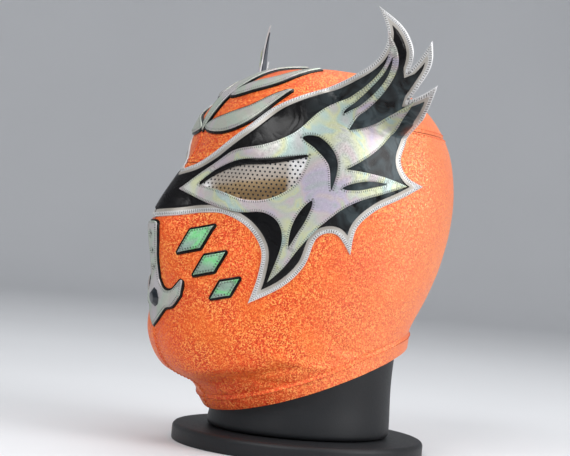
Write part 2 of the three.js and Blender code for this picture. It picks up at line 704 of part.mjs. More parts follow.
function makeCrest() {
  const [backingShell, leafShell] = [crestShell(BASE_SHEET), crestShell(MIDDLE_SHEET)];
  const flip = (ring) => ring.map(([x, y]) => [-x, y]);
  const parts = [];
  for (const [name, leaf] of Object.entries(CREST_LEAVES)) {
    const ring = leafOutline(leaf, 0);
    const wide = leafOutline(leaf, TRIM);
    parts.push(crestCutter(wide));
    const cut = toGeometry(leafShell.intersect(crestCutter(ring)));
    if (name === 'crest_spear') {
      add(name, cut, MATERIALS.holo);
      continue;
    }
    parts.push(crestCutter(flip(wide)));
    addPair(name, cut, MATERIALS.holo);
  }
  const cutAll = parts.reduce((sum, next) => sum.add(next));
  add('crest_backing', toGeometry(backingShell.intersect(cutAll)), MATERIALS.vinyl);
}

function makeNoseGuard() {
  const [top, ...right] = ringOf(GUARD_RUNS);
  const bottom = right.pop();
  const ring = [top, ...right, bottom, ...right.map(([x, z]) => [-x, z]).reverse()];
  const wide = headCutter(inset(ring, -TRIM).map(fromMiddle), BASE_SHEET, FRONT_CENTRE);
  const narrow = headCutter(ring.map(fromMiddle), MIDDLE_SHEET, FRONT_CENTRE);
  add('nose_backing', toGeometry(frontShell(BASE_SHEET).intersect(wide)), MATERIALS.vinyl);
  add('nose_guard', toGeometry(frontShell(MIDDLE_SHEET).intersect(narrow)), MATERIALS.silver);
}

// A small turned piece that stands on the fabric, along its normal.
function placedTurning(profile, segments, phi, z, depth) {
  const turning = new THREE.LatheGeometry(profile.map(([x, y]) => new THREE.Vector2(x, y)), segments);
  const row = rowAtHeight(phi, z);
  const foot = raised(fabricSurface, phi, row, depth, HEAD_STEP);
  const tip = raised(fabricSurface, phi, row, depth + 1, HEAD_STEP);
  const normal = tip.sub(foot).normalize();
  const turn = new THREE.Quaternion().setFromUnitVectors(new THREE.Vector3(0, 1, 0), normal);
  turning.applyQuaternion(turn).translate(foot.x, foot.y, foot.z);
  return closedBody(Array.from(turning.attributes.position.array), Array.from(turning.index.array));
}

function makeStone() {
  const { height, radius, table, rise, sides } = STONE;
  const profile = [[0, 0], [radius, 0], [radius, GAP], [radius * table, rise], [0, rise]];
  const depth = MIDDLE_SHEET[1] + 3 * GAP;
  add('nose_cabochon', placedTurning(profile, sides, 0, height, depth), MATERIALS.vinyl);
}

function makeLozenges(shells) {
  for (let k = 0; k < LOZENGE.count; k++) {
    const scale = LOZENGE.shrink ** k;
    const centre = LOZENGE.first.map((value, i) => value + k * LOZENGE.step[i]);
    const along = new THREE.Vector2(-LOZENGE.step[1], LOZENGE.step[0]).normalize();
    const corner = (a, b) => [
      centre[0] + along.x * a + along.y * b,
      centre[1] + along.y * a - along.x * b,
    ];
    const ring = [
      corner(LOZENGE.long * scale, 0), corner(0, LOZENGE.short * scale),
      corner(-LOZENGE.long * scale, 0), corner(0, -LOZENGE.short * scale),
    ];
    const wide = headCutter(inset(ring, -TRIM).map(fromMiddle), BASE_SHEET, FRONT_CENTRE);
    const narrow = headCutter(ring.map(fromMiddle), MIDDLE_SHEET, FRONT_CENTRE);
    addPair(`cheek_backing_${k + 1}`, toGeometry(shells.base.intersect(wide)), MATERIALS.vinyl);
    addPair(`cheek_lozenge_${k + 1}`, toGeometry(shells.middle.intersect(narrow)), MATERIALS.green);
  }
}

// Back closure

function makePlackets() {
  const rows = Array.from({ length: PLACKET_ROWS }, (_, k) => {
    return THREE.MathUtils.lerp(PLACKET.top, PLACKET.bottom, k / (PLACKET_ROWS - 1));
  });
  const sides = [PLACKET.from, (PLACKET.from + PLACKET.to) / 2, PLACKET.to].reverse();
  const point = (depth) => (side, z) => {
    const phi = Math.PI - Math.asin(side / skinRadius(Math.PI, z));
    return raised(fabricSurface, phi, rowAtHeight(phi, z), depth, HEAD_STEP);
  };
  addPair('placket', slab(sides, rows, point(BASE_SHEET[1]), point(BASE_SHEET[0])), MATERIALS.vinyl);
}

function makeTongue() {
  const back = COLUMNS.filter((phi) => phi > TONGUE.from);
  const columns = [...back, ...back.slice(0, -1).reverse().map((phi) => 2 * Math.PI - phi)];
  const rows = PANEL_ROWS.filter((row) => row > TONGUE.top && row !== HEM_TOP + 1);
  const point = (depth) => (phi, row) => {
    return raised(fabricSurface, phi, panelRow(Math.PI - Math.abs(Math.PI - phi), row), depth, HEAD_STEP);
  };
  add('tongue', slab(columns, rows, point(TONGUE.depth[1]), point(TONGUE.depth[0])), MATERIALS.fabric);
}

function makeEyelets() {
  const profile = [[EYELET.bore, 0], [EYELET.rim, 0], [EYELET.rim * 0.8, EYELET.height], [EYELET.bore, 0]];
  for (let k = 0; k < EYELET.count; k++) {
    const z = THREE.MathUtils.lerp(EYELET.first, EYELET.last, k / (EYELET.count - 1));
    const phi = Math.PI - Math.asin(EYELET.side / skinRadius(Math.PI, z));
    const ring = placedTurning(profile, EYELET.sides, phi, z, BASE_SHEET[1] + 2 * GAP);
    addPair(`eyelet_${k + 1}`, ring, MATERIALS.eyelet);
  }
}

const eye = ringOf(EYE_RUNS);
const eyeSeam = inset(eye, -EYE_SEAM);
const shells = { base: sideShell(BASE_SHEET), middle: sideShell(MIDDLE_SHEET), top: sideShell(TOP_SHEET) };

makeBasePlate();
makeHeadForm();
makeCrownPanels();
makeSidePanels(headCutter(eyeSeam.map(fromEar), [-FABRIC, 0]));
makeEyePanels(shells, eye, eyeSeam);
makeFinLinings();
makeCrest();
makeNoseGuard();
makeStone();
makeLozenges(shells);
makePlackets();
makeTongue();
makeEyelets();

export default mask;
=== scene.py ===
"""Lucha libre mask on its display head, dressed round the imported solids.

Sizes are in millimetres until a mesh is made. The face looks towards -Y, up is +Z and the
wearer's left is +X.
"""
import math
import bpy
import numpy as np
from bpy.props import FloatProperty, FloatVectorProperty, IntProperty, PointerProperty
from mathutils import Matrix, Vector
from mathutils.geometry import delaunay_2d_cdt


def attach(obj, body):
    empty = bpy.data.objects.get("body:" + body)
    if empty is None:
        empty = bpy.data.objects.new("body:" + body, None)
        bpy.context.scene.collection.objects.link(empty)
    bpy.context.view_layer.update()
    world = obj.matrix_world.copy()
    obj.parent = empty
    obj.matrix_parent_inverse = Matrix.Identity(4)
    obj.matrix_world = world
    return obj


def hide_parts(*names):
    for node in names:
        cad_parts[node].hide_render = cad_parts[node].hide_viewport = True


bl_info = {
    "name": "Lucha Libre Mask",
    "version": (1, 0, 0),
    "blender": (4, 5, 0),
    "location": "3D View > Sidebar > Mask",
    "description": "Dresses a wrestling mask and its display head round their solids",
    "category": "Add Mesh",
}

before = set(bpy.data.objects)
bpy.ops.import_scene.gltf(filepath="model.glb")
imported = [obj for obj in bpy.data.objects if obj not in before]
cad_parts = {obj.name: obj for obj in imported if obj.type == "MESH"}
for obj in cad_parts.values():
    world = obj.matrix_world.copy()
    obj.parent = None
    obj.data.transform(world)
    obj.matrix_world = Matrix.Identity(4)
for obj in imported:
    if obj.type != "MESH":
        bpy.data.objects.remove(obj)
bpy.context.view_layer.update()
MM = 0.001
GAP = 0.3

# Head sections from the crown (0) to the hem (12): reach and height at the front and the back,
# half width and height at the side, and the roundness of the section.
SECTIONS = np.array([
    (0, 252, 0, 252, 0, 252, 2.0),
    (38, 246.5, 43, 245, 40, 247, 2.0),
    (64, 232.5, 70, 229, 61, 231.5, 2.05),
    (79, 215, 86, 206, 72, 209, 2.15),
    (86.5, 196, 92.5, 178, 76, 184, 2.2),
    (91, 172, 91.5, 150, 76, 158, 2.2),
    (98, 145, 86, 124, 73.5, 132, 2.15),
    (102.5, 118, 77.3, 106, 70, 109, 2.3),
    (106, 92, 70.2, 94, 66.5, 91, 2.4),
    (106.7, 70, 66.5, 87, 64.5, 77, 2.4),
    (96, 50.5, 66, 82.5, 63.5, 67.5, 2.35),
    (74.8, 39, 67.2, 79, 63, 60, 2.2),
    (64, 24.5, 69, 75, 62.8, 50.5, 2.0),
])
HEM = len(SECTIONS) - 1
CROWN_HEIGHT = SECTIONS[0][1]

NOSE = {"top": 194, "tip": 139, "lip": 88, "height": 15.5, "bridge": 12, "wings": 19, "base": 39}
EYE_HOLLOW = {"depth": 3, "side": 33, "width": 15, "level": 180, "height": 12}
FABRIC = 1.2
HEM_RISE = 0.9
HEM_SPAN = {"front": 0.5, "side": 1.0, "back": 2.6}
SEAM = {"front": 4.6, "back": 2.75, "from": math.radians(70), "to": math.radians(115)}
FIN = {"reach": 103, "lean": 1.6, "root": 58, "from": 196, "to": 256, "bow": 0.01, "blend": 7}

# Depths of the stacked sheets over the fabric, inner and outer face.
BASE_SHEET = (0.1, 1.1)
MIDDLE_SHEET = (1.05, 1.9)
TOP_SHEET = (1.85, 2.7)
LINING_SHEET = (-0.6, 0.3)
LINING_FROM = 226
LINING_MARGIN = 1.5
BORDER = 4.6
EYE_SEAM = 2
TRIM = 1.4

HEAD_GAP = 1.6
TONGUE = {"depth": (-2.6, -1.5), "from": math.radians(152), "room": 1.6}
NECK = {"half_width": 59, "half_depth": 61, "foot": 11.3, "round": 3.5}
HEAD_ROWS = {"first": 0.5, "last": 11.3, "count": 56}
HEAD_COLUMNS = 96
NECK_ROWS = {"count": 24, "waist": 0.9, "below": 3}
PLATE = {"half_width": 86, "half_depth": 83, "height": 11, "edge": 3, "foot_edge": 0.8}
OPENING = {"half_width": 6, "top": 176}
PLACKET = {"from": 6.6, "to": 25, "top": 186, "bottom": 87}
EYELET = {"count": 6, "bore": 2.1, "rim": 4.2, "side": 15.5, "first": 95, "last": 170,
          "flatness": 0.7, "lift": 0.3}

# Distance between the points of a long outline and of a small one.
OUTLINE_STEP = 1.3
FINE_STEP = 1.2

# Outlines are rings of smooth runs that meet at corners. On the side of the head a point is the
# distance round from the ear line, forwards negative, and the height.
PANEL_RUNS = [
    [(-172, 176), (-150, 175), (-128, 179), (-112, 187), (-82, 206), (-54, 227), (-31, 242),
     (-16, 254), (-10, 268)],
    [(-14, 287), (1, 274), (8, 260)],
    [(8, 247), (14, 255)],
    [(21, 265), (22, 250), (19, 238)],
    [(17, 230), (25, 234)],
    [(31, 239), (32, 222), (26, 206), (21, 193), (27, 183)],
    [(41, 178), (21, 168), (5, 160), (-7, 148)],
    [(-9, 131), (-20, 143), (-32, 140), (-38, 122), (-50, 108)],
    [(-70, 96), (-66, 114), (-66, 130), (-76, 143), (-92, 150), (-108, 150), (-126, 147)],
    [(-150, 144)],
    [(-161, 143.5)],
    [(-172, 143)],
]
EYE_RUNS = [
    [(-115, 167), (-103, 177), (-86, 184), (-66, 186)],
    [(-42, 190), (-49, 173), (-62, 163), (-78, 160), (-97, 164)],
]
FLAME_RUNS = [
    [(-129, 163), (-113, 177), (-92, 190), (-70, 195), (-52, 203), (-37, 216), (-22, 231),
     (-12, 245), (-8, 257)],
    [(-9, 271), (-2, 258), (0, 246), (-3, 232), (-9, 220)],
    [(-17, 208), (-3, 212), (9, 221)],
    [(21, 230), (16, 213), (4, 199), (-8, 190)],
    [(-18, 184), (-4, 183), (10, 181)],
    [(26, 177), (9, 171), (-8, 165), (-20, 158)],
    [(-32, 147), (-42, 134), (-51, 120)],
    [(-60, 110), (-54, 134), (-57, 147), (-67, 153), (-84, 152), (-106, 156)],
]
# Leaf-shaped openings in the flame that show the vinyl under it.
FLAME_CUTS = [
    {"spine": [(-46, 201), (-36, 198), (-27, 187), (-27, 170)], "half_width": 4.0},
    {"spine": [(-20, 218), (-13, 230), (-7, 243), (-5, 255)], "half_width": 2.6},
    {"spine": [(-38, 163), (-43, 153), (-47, 143), (-49.5, 133)], "half_width": 3.0},
    {"spine": [(-20, 172), (-10, 174), (0, 176), (10, 177)], "half_width": 2.4},
]

# Nose guard, right half, by the distance from the middle of the face and the height.
GUARD_RUNS = [
    [(0, 142), (6.2, 141), (6.4, 131), (5, 118)],
    [(6.6, 106), (12, 100), (20, 100), (28.5, 107)],
    [(27.5, 97), (21, 90), (14, 88)],
    [(10.5, 85), (5.5, 80)],
]
GUARD_FOOT = (0, 76)
GUARD_HOLES = {"levels": (134.5, 124, 113.5), "radius": 1.2}
STONE = {"height": 94, "radius": 6.6, "table": 0.55, "rise": 2.6, "sides": 8, "bevel": 0.25,
         "sunk": 0.1}

# Cheek lozenges: a slanting row, each smaller than the one above it.
LOZENGE = {"count": 3, "first": (35, 133), "step": (11.5, -14.5), "long": 15, "short": 6.8,
           "shrink": 0.86}

# Crest on the forehead, in distances sideways and below the crown.
CREST = {"along": 88, "across": 85, "centre": 165, "lift": 0.3}
CREST_LEAVES = {
    "spear": {"spine": [(0, -101), (0, -72), (0, -45), (0, -13)], "half_width": 6.2},
    "low": {"spine": [(3, -99), (23, -94), (37, -80), (44, -52)], "half_width": 6.2},
    "high": {"spine": [(7.5, -75), (17, -65), (28, -50), (31, -20)], "half_width": 5.4},
}

# Stitches on the sheets: distance inside the edge, width across it, lean along it, height over
# the fabric and thickness. Where no pitch stands, the trim settings give it.
BORDER_STITCH = {"inset": 1.4, "across": 1.5, "lean": 0.8, "zigzag": True,
                 "depth": BASE_SHEET[1] + 0.05, "thickness": 0.45}
FLAME_STITCH = {"inset": 1.0, "across": 1.0, "lean": 0.35, "zigzag": True,
                "depth": TOP_SHEET[1] + 0.02, "thickness": 0.34}
CREST_STITCH = {"inset": 0.9, "across": 0.9, "lean": 0.35, "zigzag": True,
                "depth": MIDDLE_SHEET[1] + 0.02, "thickness": 0.3}
GUARD_STITCH = {**CREST_STITCH, "inset": 1.0}
LOZENGE_STITCH = {"inset": 1.1, "pitch": 1.9, "across": 0.0, "lean": 1.1, "zigzag": False,
                  "depth": MIDDLE_SHEET[1] + 0.02, "thickness": 0.34}
PLACKET_STITCH = {"inset": 1.6, "pitch": 3.0, "across": 0.0, "lean": 2.2, "zigzag": False,
                  "depth": BASE_SHEET[1] + 0.02, "thickness": 0.45}

# The backdrop: a round floor that curves up into a wall.
BACKDROP = {"radius": 2.0, "curve": 0.7, "wall": 1.2, "sides": 96, "steps": 8}
SKY = {"colour": (0.86, 0.89, 0.93, 1), "strength": 0.32}
AIM_HEIGHT = 0.16

# The eye opening: the foil's rolled edge, the dark sheet behind it that is painted shade seen
# through the foil's holes, and the lid over the eye's upper edge. The lid's width follows a half
# wave, from one share of it on and over another.
FOIL_ROLL = (1.5, 1.8, 0.6)
PAINTED_SHADE_SHEET = (0.35, 0.7)
LID = {"foot": 1.75, "roll": (2.0, 2.9, 0.9), "over": 1.2, "width": 2.9, "wave": (0.02, 0.96)}

# Where a sheet's edge starts to roll over, and the rows of points inside a narrow sheet's edge.
BASE_ROLL = 0.4
MIDDLE_ROLL = 1.3
TOP_ROLL = 2.1
NARROW_RIMS = (0.3, 0.8)

# The photograph's camera: it looks level at the mask from the wearer's front left.
CAMERA = {"azimuth": 65, "distance": 1150, "height": 144.6, "side": -19.2, "roll": 4.7,
          "lens": 108.9, "sensor": 36}


# Head surface

def ease_between(low, high, value):
    t = np.clip((value - low) / (high - low), 0, 1)
    return t * t * (3 - 2 * t)


def lerp(a, b, t):
    return a + (b - a) * t


def through_points(before, start, end, after, t):
    return 0.5 * (2 * start + (end - before) * t
                  + (2 * before - 5 * start + 4 * end - after) * t ** 2
                  + (3 * start - before - 3 * end + after) * t ** 3)


def section(v):
    at = np.clip(v, 0, HEM)
    k = np.minimum(at.astype(int), HEM - 1)
    rows = np.vstack([2 * SECTIONS[0] - SECTIONS[1], SECTIONS, 2 * SECTIONS[-1] - SECTIONS[-2]])
    t = (at - k)[..., None]
    return np.moveaxis(through_points(rows[k], rows[k + 1], rows[k + 2], rows[k + 3], t), -1, 0)


def face_relief(phi, z, radius):
    """The nose ridge and the two eye hollows, as a distance added to the head's radius."""
    x = np.abs(radius * np.sin(phi))
    rise = np.clip((NOSE["top"] - z) / (NOSE["top"] - NOSE["tip"]), 0, 1)
    fall = np.clip((NOSE["tip"] - z) / (NOSE["tip"] - NOSE["lip"]), 0, 1)
    above = z > NOSE["tip"]
    height = np.where(above, np.sin(rise * np.pi / 2) ** 1.4, (1 - fall) ** 1.2)
    width = np.where(above, lerp(NOSE["bridge"], NOSE["wings"], rise),
                     lerp(NOSE["wings"], NOSE["base"], fall))
    hollow = ((x - EYE_HOLLOW["side"]) / EYE_HOLLOW["width"]) ** 2
    hollow += ((z - EYE_HOLLOW["level"]) / EYE_HOLLOW["height"]) ** 2
    relief = NOSE["height"] * height * np.exp(-((x / width) ** 2))
    relief -= EYE_HOLLOW["depth"] * np.exp(-hollow)
    return np.where(np.cos(phi) > 0, relief, 0)


def skin(phi, v):
    """Radius and height of the fabric at an angle from the face and a section number."""
    phi, v = np.broadcast_arrays(np.asarray(phi, float), np.asarray(v, float))
    front, front_z, back, back_z, side, side_z, roundness = section(v)
    c = np.cos(phi)
    reach = np.maximum(np.where(c > 0, front, back), 0.001)
    total = np.abs(np.sin(phi) / np.maximum(side, 0.001)) ** roundness
    total += np.abs(c / reach) ** roundness
    radius = total ** (-1 / roundness)
    z = side_z + (front_z - back_z) / 2 * c + ((front_z + back_z) / 2 - side_z) * c * c
    return radius + face_relief(phi, z, radius), z


def row_at_height(phi, z):
    phi, z = np.broadcast_arrays(np.asarray(phi, float), np.asarray(z, float))
    low = np.zeros(phi.shape)
    high = np.full(phi.shape, float(HEM))
    for _ in range(24):
        middle = (low + high) / 2
        above = skin(phi, middle)[1] > z
        low = np.where(above, middle, low)
        high = np.where(above, high, middle)
    return low


def skin_radius(phi, z):
    return np.where(z >= CROWN_HEIGHT, 0, skin(phi, row_at_height(phi, z))[0])


def fin_radius(phi, z):
    upright = FIN["reach"] / np.maximum(np.sin(phi) + FIN["lean"] * np.cos(phi), 0.6)
    bow = FIN["bow"] * np.maximum(0, z - FIN["to"]) ** 2
    return lerp(FIN["root"], upright, ease_between(FIN["from"], FIN["to"], z)) - bow


def sheet_radius(phi, z):
    """The sheets follow the fabric and leave it where the fin stands up."""
    a = skin_radius(phi, z)
    b = fin_radius(phi, z)
    h = np.maximum(FIN["blend"] - np.abs(a - b), 0) / FIN["blend"]
    return np.maximum(a, b) + h * h * FIN["blend"] / 4


def polar(radius, phi, z):
    phi, z = np.broadcast_arrays(phi, z)
    return np.stack([radius * np.sin(phi), -radius * np.cos(phi), z], -1)


def fabric_surface(phi, v):
    radius, z = skin(phi, v)
    return polar(radius, phi, z)


def sheet_surface(phi, z):
    return polar(sheet_radius(phi, z), phi, z)


def crest_surface(turn, down):
    """Where the ray from the head's middle meets the forehead."""
    lift = np.pi / 2 - down / CREST["along"]
    ray = np.stack([np.sin(turn), -np.cos(turn) * np.cos(lift), np.cos(turn) * np.sin(lift)], -1)
    phi = np.arctan2(ray[..., 0], -ray[..., 1])
    level = np.hypot(ray[..., 0], ray[..., 1])
    low = np.full(phi.shape, 40.0)
    high = np.full(phi.shape, 130.0)
    for _ in range(20):
        middle = (low + high) / 2
        within = level * middle < skin_radius(phi, CREST["centre"] + ray[..., 2] * middle)
        low = np.where(within, middle, low)
        high = np.where(within, high, middle)
    return ray * low[..., None] + np.array([0, 0, CREST["centre"]])


def raised(surface, across, up, depth, step):
    """Points of a surface moved out along its normal."""
    sideways = surface(across + step[0], up) - surface(across - step[0], up)
    upwards = surface(across, up + step[1]) - surface(across, up - step[1])
    normal = np.cross(sideways, upwards)
    length = np.linalg.norm(normal, axis=-1, keepdims=True)
    normal = np.where(length > 1e-9, normal / np.maximum(length, 1e-9), (0, 0, 1))
    return surface(across, up) + normal * np.asarray(depth)[..., None]


FABRIC_STEP = (0.01, -0.03)
SHEET_STEP = (0.01, 0.5)
CREST_STEP = (0.006, -0.5)


# Charts: flat places to places on the head

TURNS = np.radians(np.arange(0, 151))
EAR_LINE = 90
LEVELS = np.arange(60.0, 301.0)
TABLE = sheet_surface(TURNS[None, :], LEVELS[:, None])
STEPS = np.linalg.norm(np.diff(TABLE[..., :2], axis=1), axis=2)
ARCS = np.concatenate([np.zeros((len(LEVELS), 1)), np.cumsum(STEPS, axis=1)], axis=1)


def turn_at(distance, z, from_ear):
    """The angle from the face at a distance round the head, at one height."""
    row = np.clip(z - LEVELS[0], 0, len(LEVELS) - 1.001)
    low = row.astype(int)
    arcs = lerp(ARCS[low], ARCS[low + 1], (row - low)[:, None])
    target = distance + (arcs[:, EAR_LINE] if from_ear else 0)
    k = np.clip((arcs <= np.abs(target)[:, None]).sum(1) - 1, 0, len(TURNS) - 2)
    rows = np.arange(len(k))
    t = (np.abs(target) - arcs[rows, k]) / (arcs[rows, k + 1] - arcs[rows, k])
    return np.sign(target) * (k + t) * TURNS[1]


def side_chart(points, depth):
    phi = turn_at(points[:, 0], points[:, 1], True)
    return raised(sheet_surface, phi, points[:, 1], depth, SHEET_STEP)


def middle_line(z):
    """Where the face's middle lies on the side chart, at each height."""
    return GAP / 2 - np.interp(z, LEVELS, ARCS[:, EAR_LINE])


def clipped_at_middle(ring):
    """The ring with what lies past the face's middle laid on the middle line."""
    ring = turned_left(np.asarray(ring, float))
    moved = np.stack([np.maximum(ring[:, 0], middle_line(ring[:, 1])), ring[:, 1]], -1)
    kept = [moved[0]]
    for point in moved[1:]:
        if math.dist(point, kept[-1]) > 0.4:
            kept.append(point)
    return np.array(kept)


def front_chart(points, depth):
    phi = turn_at(points[:, 0], points[:, 1], False)
    return raised(sheet_surface, phi, points[:, 1], depth, SHEET_STEP)


def crest_chart(points, depth):
    return raised(crest_surface, points[:, 0] / CREST["across"], -points[:, 1],
                  np.asarray(depth) + CREST["lift"], CREST_STEP)


def back_chart(points, depth):
    radius = skin_radius(np.full(len(points), np.pi), points[:, 1])
    phi = np.pi - np.arcsin(points[:, 0] / radius)
    row = row_at_height(phi, points[:, 1])
    return raised(fabric_surface, phi, row, depth, FABRIC_STEP)


# Flat outlines

def smooth_run(points, steps=12):
    points = [np.array(p, float) for p in points]
    run = []
    for k in range(len(points) - 1):
        before = points[max(k - 1, 0)]
        after = points[min(k + 2, len(points) - 1)]
        run += [through_points(before, points[k], points[k + 1], after, i / steps)
                for i in range(steps)]
    return np.array(run + [points[-1]])


def evenly(run, spacing, closed=False):
    """Points at equal distances along a run."""
    if closed:
        run = np.vstack([run, run[:1]])
    lengths = np.concatenate([[0], np.cumsum(np.linalg.norm(np.diff(run, axis=0), axis=1))])
    count = max(2, round(lengths[-1] / spacing))
    at = np.linspace(0, lengths[-1], count + 1)
    spaced = np.stack([np.interp(at, lengths, run[:, i]) for i in range(2)], -1)
    return spaced[:-1] if closed else spaced


def straight_ring(corners, spacing):
    """A closed outline of straight sides."""
    return np.vstack([evenly(np.array([a, b], float), spacing)[:-1]
                      for a, b in zip(corners, corners[1:] + corners[:1])])


def ring_of(runs):
    """A closed outline through runs that meet at corners."""
    parts = [evenly(smooth_run([*run, runs[(k + 1) % len(runs)][0]]), OUTLINE_STEP)[:-1]
             for k, run in enumerate(runs)]
    return np.vstack(parts)


def turned_left(ring):
    x, y = ring.T
    area = (x * np.roll(y, -1) - np.roll(x, -1) * y).sum()
    return ring if area > 0 else ring[::-1]


def inward_normals(ring):
    """Unit normals of a ring that turns left, towards its inside."""
    before = ring - np.roll(ring, 1, axis=0)
    after = np.roll(ring, -1, axis=0) - ring
    before /= np.linalg.norm(before, axis=1, keepdims=True)
    after /= np.linalg.norm(after, axis=1, keepdims=True)
    along = before + after
    normal = np.stack([-along[:, 1], along[:, 0]], -1)
    return normal / np.maximum(np.linalg.norm(normal, axis=1, keepdims=True), 1e-6)


def distance_inside(points, ring):
    """Distance of each point from a ring, positive inside, and its place along the ring."""
    ends = np.roll(ring, -1, axis=0)
    edges = ends - ring
    lengths = np.maximum(np.linalg.norm(edges, axis=1), 1e-9)
    started = np.concatenate([[0], np.cumsum(lengths)[:-1]])
    slope = edges[:, 0] / np.where(edges[:, 1] == 0, 1e-12, edges[:, 1])
    depth = np.empty(len(points))
    along = np.empty(len(points))
    for first in range(0, len(points), 500):
        part = slice(first, first + 500)
        x = points[part, 0][:, None]
        y = points[part, 1][:, None]
        dx = x - ring[:, 0]
        dy = y - ring[:, 1]
        share = np.clip((dx * edges[:, 0] + dy * edges[:, 1]) / lengths ** 2, 0, 1)
        distance = np.hypot(dx - share * edges[:, 0], dy - share * edges[:, 1])
        near = distance.argmin(1)
        rows = np.arange(len(near))
        crosses = ((ring[:, 1] > y) != (ends[:, 1] > y)) & (x < ring[:, 0] + slope * dy)
        inside = crosses.sum(1) % 2 == 1
        nearest = distance[rows, near]
        depth[part] = np.where(inside, nearest, -nearest)
        along[part] = started[near] + share[rows, near] * lengths[near]
    return depth, along


class FlatShape:
    """Outlines joined together, with others and round holes taken out."""

    def __init__(self, joined, cut=(), holes=(), hole_radius=0.5, whole=None):
        self.joined = [turned_left(np.asarray(ring, float)) for ring in joined]
        self.cut = [turned_left(np.asarray(ring, float)) for ring in cut]
        self.holes = np.asarray(holes, float)
        self.hole_radius = hole_radius
        self.whole = whole or self

    def measure(self, points):
        """Each point's distance from the edge, positive inside, and its place along the edge."""
        depth = np.full(len(points), -np.inf)
        along = np.zeros(len(points))
        for ring in self.joined:
            inside, place = distance_inside(points, ring)
            along = np.where(inside > depth, place, along)
            depth = np.maximum(inside, depth)
        for ring in self.cut:
            inside, place = distance_inside(points, ring)
            along = np.where(-inside < depth, place, along)
            depth = np.minimum(-inside, depth)
        if len(self.holes):
            apart = points[:, None] - self.holes[None]
            nearest = np.hypot(apart[..., 0], apart[..., 1]).min(1)
            depth = np.minimum(depth, nearest - self.hole_radius)
        return depth, along

    def hole_rings(self, corners=8):
        angles = np.arange(corners) * 2 * np.pi / corners
        circle = np.stack([np.cos(angles), np.sin(angles)], -1) * self.hole_radius
        return [centre + circle for centre in self.holes]

    def fill(self, spacing, rims):
        """Points, triangles, distances from the edge and places along it."""
        rings = self.joined + self.cut + self.hole_rings()
        corners = np.vstack(rings)
        edges = []
        first = 0
        for ring in rings:
            edges += [(first + i, first + (i + 1) % len(ring)) for i in range(len(ring))]
            first += len(ring)
        inner = []
        for rim in rims:
            for rings_in, turn in ((self.joined, 1), (self.cut, -1)):
                for ring in rings_in:
                    moved = ring + inward_normals(ring) * rim * turn
                    inner.append(moved[self.measure(moved)[0] > rim * 0.94])
        low = corners.min(0)
        high = corners.max(0)
        rows = np.arange(low[1], high[1], spacing * 0.866)
        grid = [(x + (k % 2) * spacing / 2, y) for k, y in enumerate(rows)
                for x in np.arange(low[0], high[0], spacing)]
        grid = np.array(grid)
        margin = (rims[-1] if rims else 0) + spacing * 0.4
        inner.append(grid[self.measure(grid)[0] > margin])
        points = np.vstack([corners, *inner])
        vectors = [Vector(p) for p in points]
        made = delaunay_2d_cdt(vectors, edges, [], 0, 1e-5)
        points = np.array([tuple(p) for p in made[0]])
        triangles = np.array([face for face in made[2] if len(face) == 3])
        kept = self.measure(points[triangles].mean(1))[0] > 0
        triangles = triangles[kept]
        a, b, c = (points[triangles[:, i]] for i in range(3))
        area = (b[:, 0] - a[:, 0]) * (c[:, 1] - a[:, 1]) - (b[:, 1] - a[:, 1]) * (c[:, 0] - a[:, 0])
        triangles = triangles[np.abs(area) > 1e-7]
        area = area[np.abs(area) > 1e-7]
        triangles[area < 0] = triangles[area < 0][:, ::-1]
        used = np.unique(triangles)
        place = np.zeros(len(points), int)
        place[used] = np.arange(len(used))
        points = points[used]
        depth, along = self.whole.measure(points)
        return points, place[triangles], np.maximum(depth, 0), along


def inset_ring(ring, distance):
    """The outline moved inwards by a distance, or outwards by a negative one."""
    ring = turned_left(np.asarray(ring, float))
    moved = ring + inward_normals(ring) * distance
    depth = distance_inside(moved, ring)[0]
    return moved[depth > distance * 0.97 if distance > 0 else depth < distance * 0.97]


def mirrored_ring(ring):
    return np.asarray(ring) * (-1, 1)


# Meshes

def new_mesh(name, points, faces, material, uv=None, smooth=40):
    """A mesh object from points in millimetres."""
    mesh = bpy.data.meshes.new(name)
    mesh.from_pydata((np.asarray(points) * MM).tolist(), [], faces)
    if uv is not None:
        layer = mesh.uv_layers.new(name="edge")
        corners = np.empty(len(mesh.loops), int)
        mesh.loops.foreach_get("vertex_index", corners)
        layer.data.foreach_set("uv", (np.asarray(uv)[corners] * MM).ravel())
    mesh.materials.append(material)
    mesh.validate()
    piece = bpy.data.objects.new(name, mesh)
    bpy.context.scene.collection.objects.link(piece)
    choose(piece)
    bpy.ops.object.shade_smooth_by_angle(angle=math.radians(smooth))
    return piece


def choose(piece):
    bpy.ops.object.select_all(action="DESELECT")
    piece.select_set(True)
    bpy.context.view_layer.objects.active = piece


def apply_modifier(piece, kind, **values):
    choose(piece)
    modifier = piece.modifiers.new(kind.title(), kind)
    for key, value in values.items():
        setattr(modifier, key, value)
    bpy.ops.object.modifier_apply(modifier=modifier.name)


def settle(piece, slot, *nodes):
    """The piece moves with the display head and stands for nodes; the slot is not used."""
    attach(piece, "root")
    if nodes:
        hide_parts(*nodes)
    return piece


def mirror_piece(piece, name):
    """The same piece on the wearer's right."""
    mesh = piece.data.copy()
    mesh.name = name
    mesh.transform(Matrix.Scale(-1, 4, (1, 0, 0)))
    mesh.flip_normals()
    copy = bpy.data.objects.new(name, mesh)
    bpy.context.scene.collection.objects.link(copy)
    return copy


def settle_pair(piece, slot, *nodes):
    """Settles a piece that ends in _left and its mirrored twin."""
    twin = mirror_piece(piece, piece.name.replace("_left", "_right"))
    settle(piece, slot, *[f"{node}_left" for node in nodes])
    settle(twin, slot, *[f"{node}_right" for node in nodes])
    return piece, twin


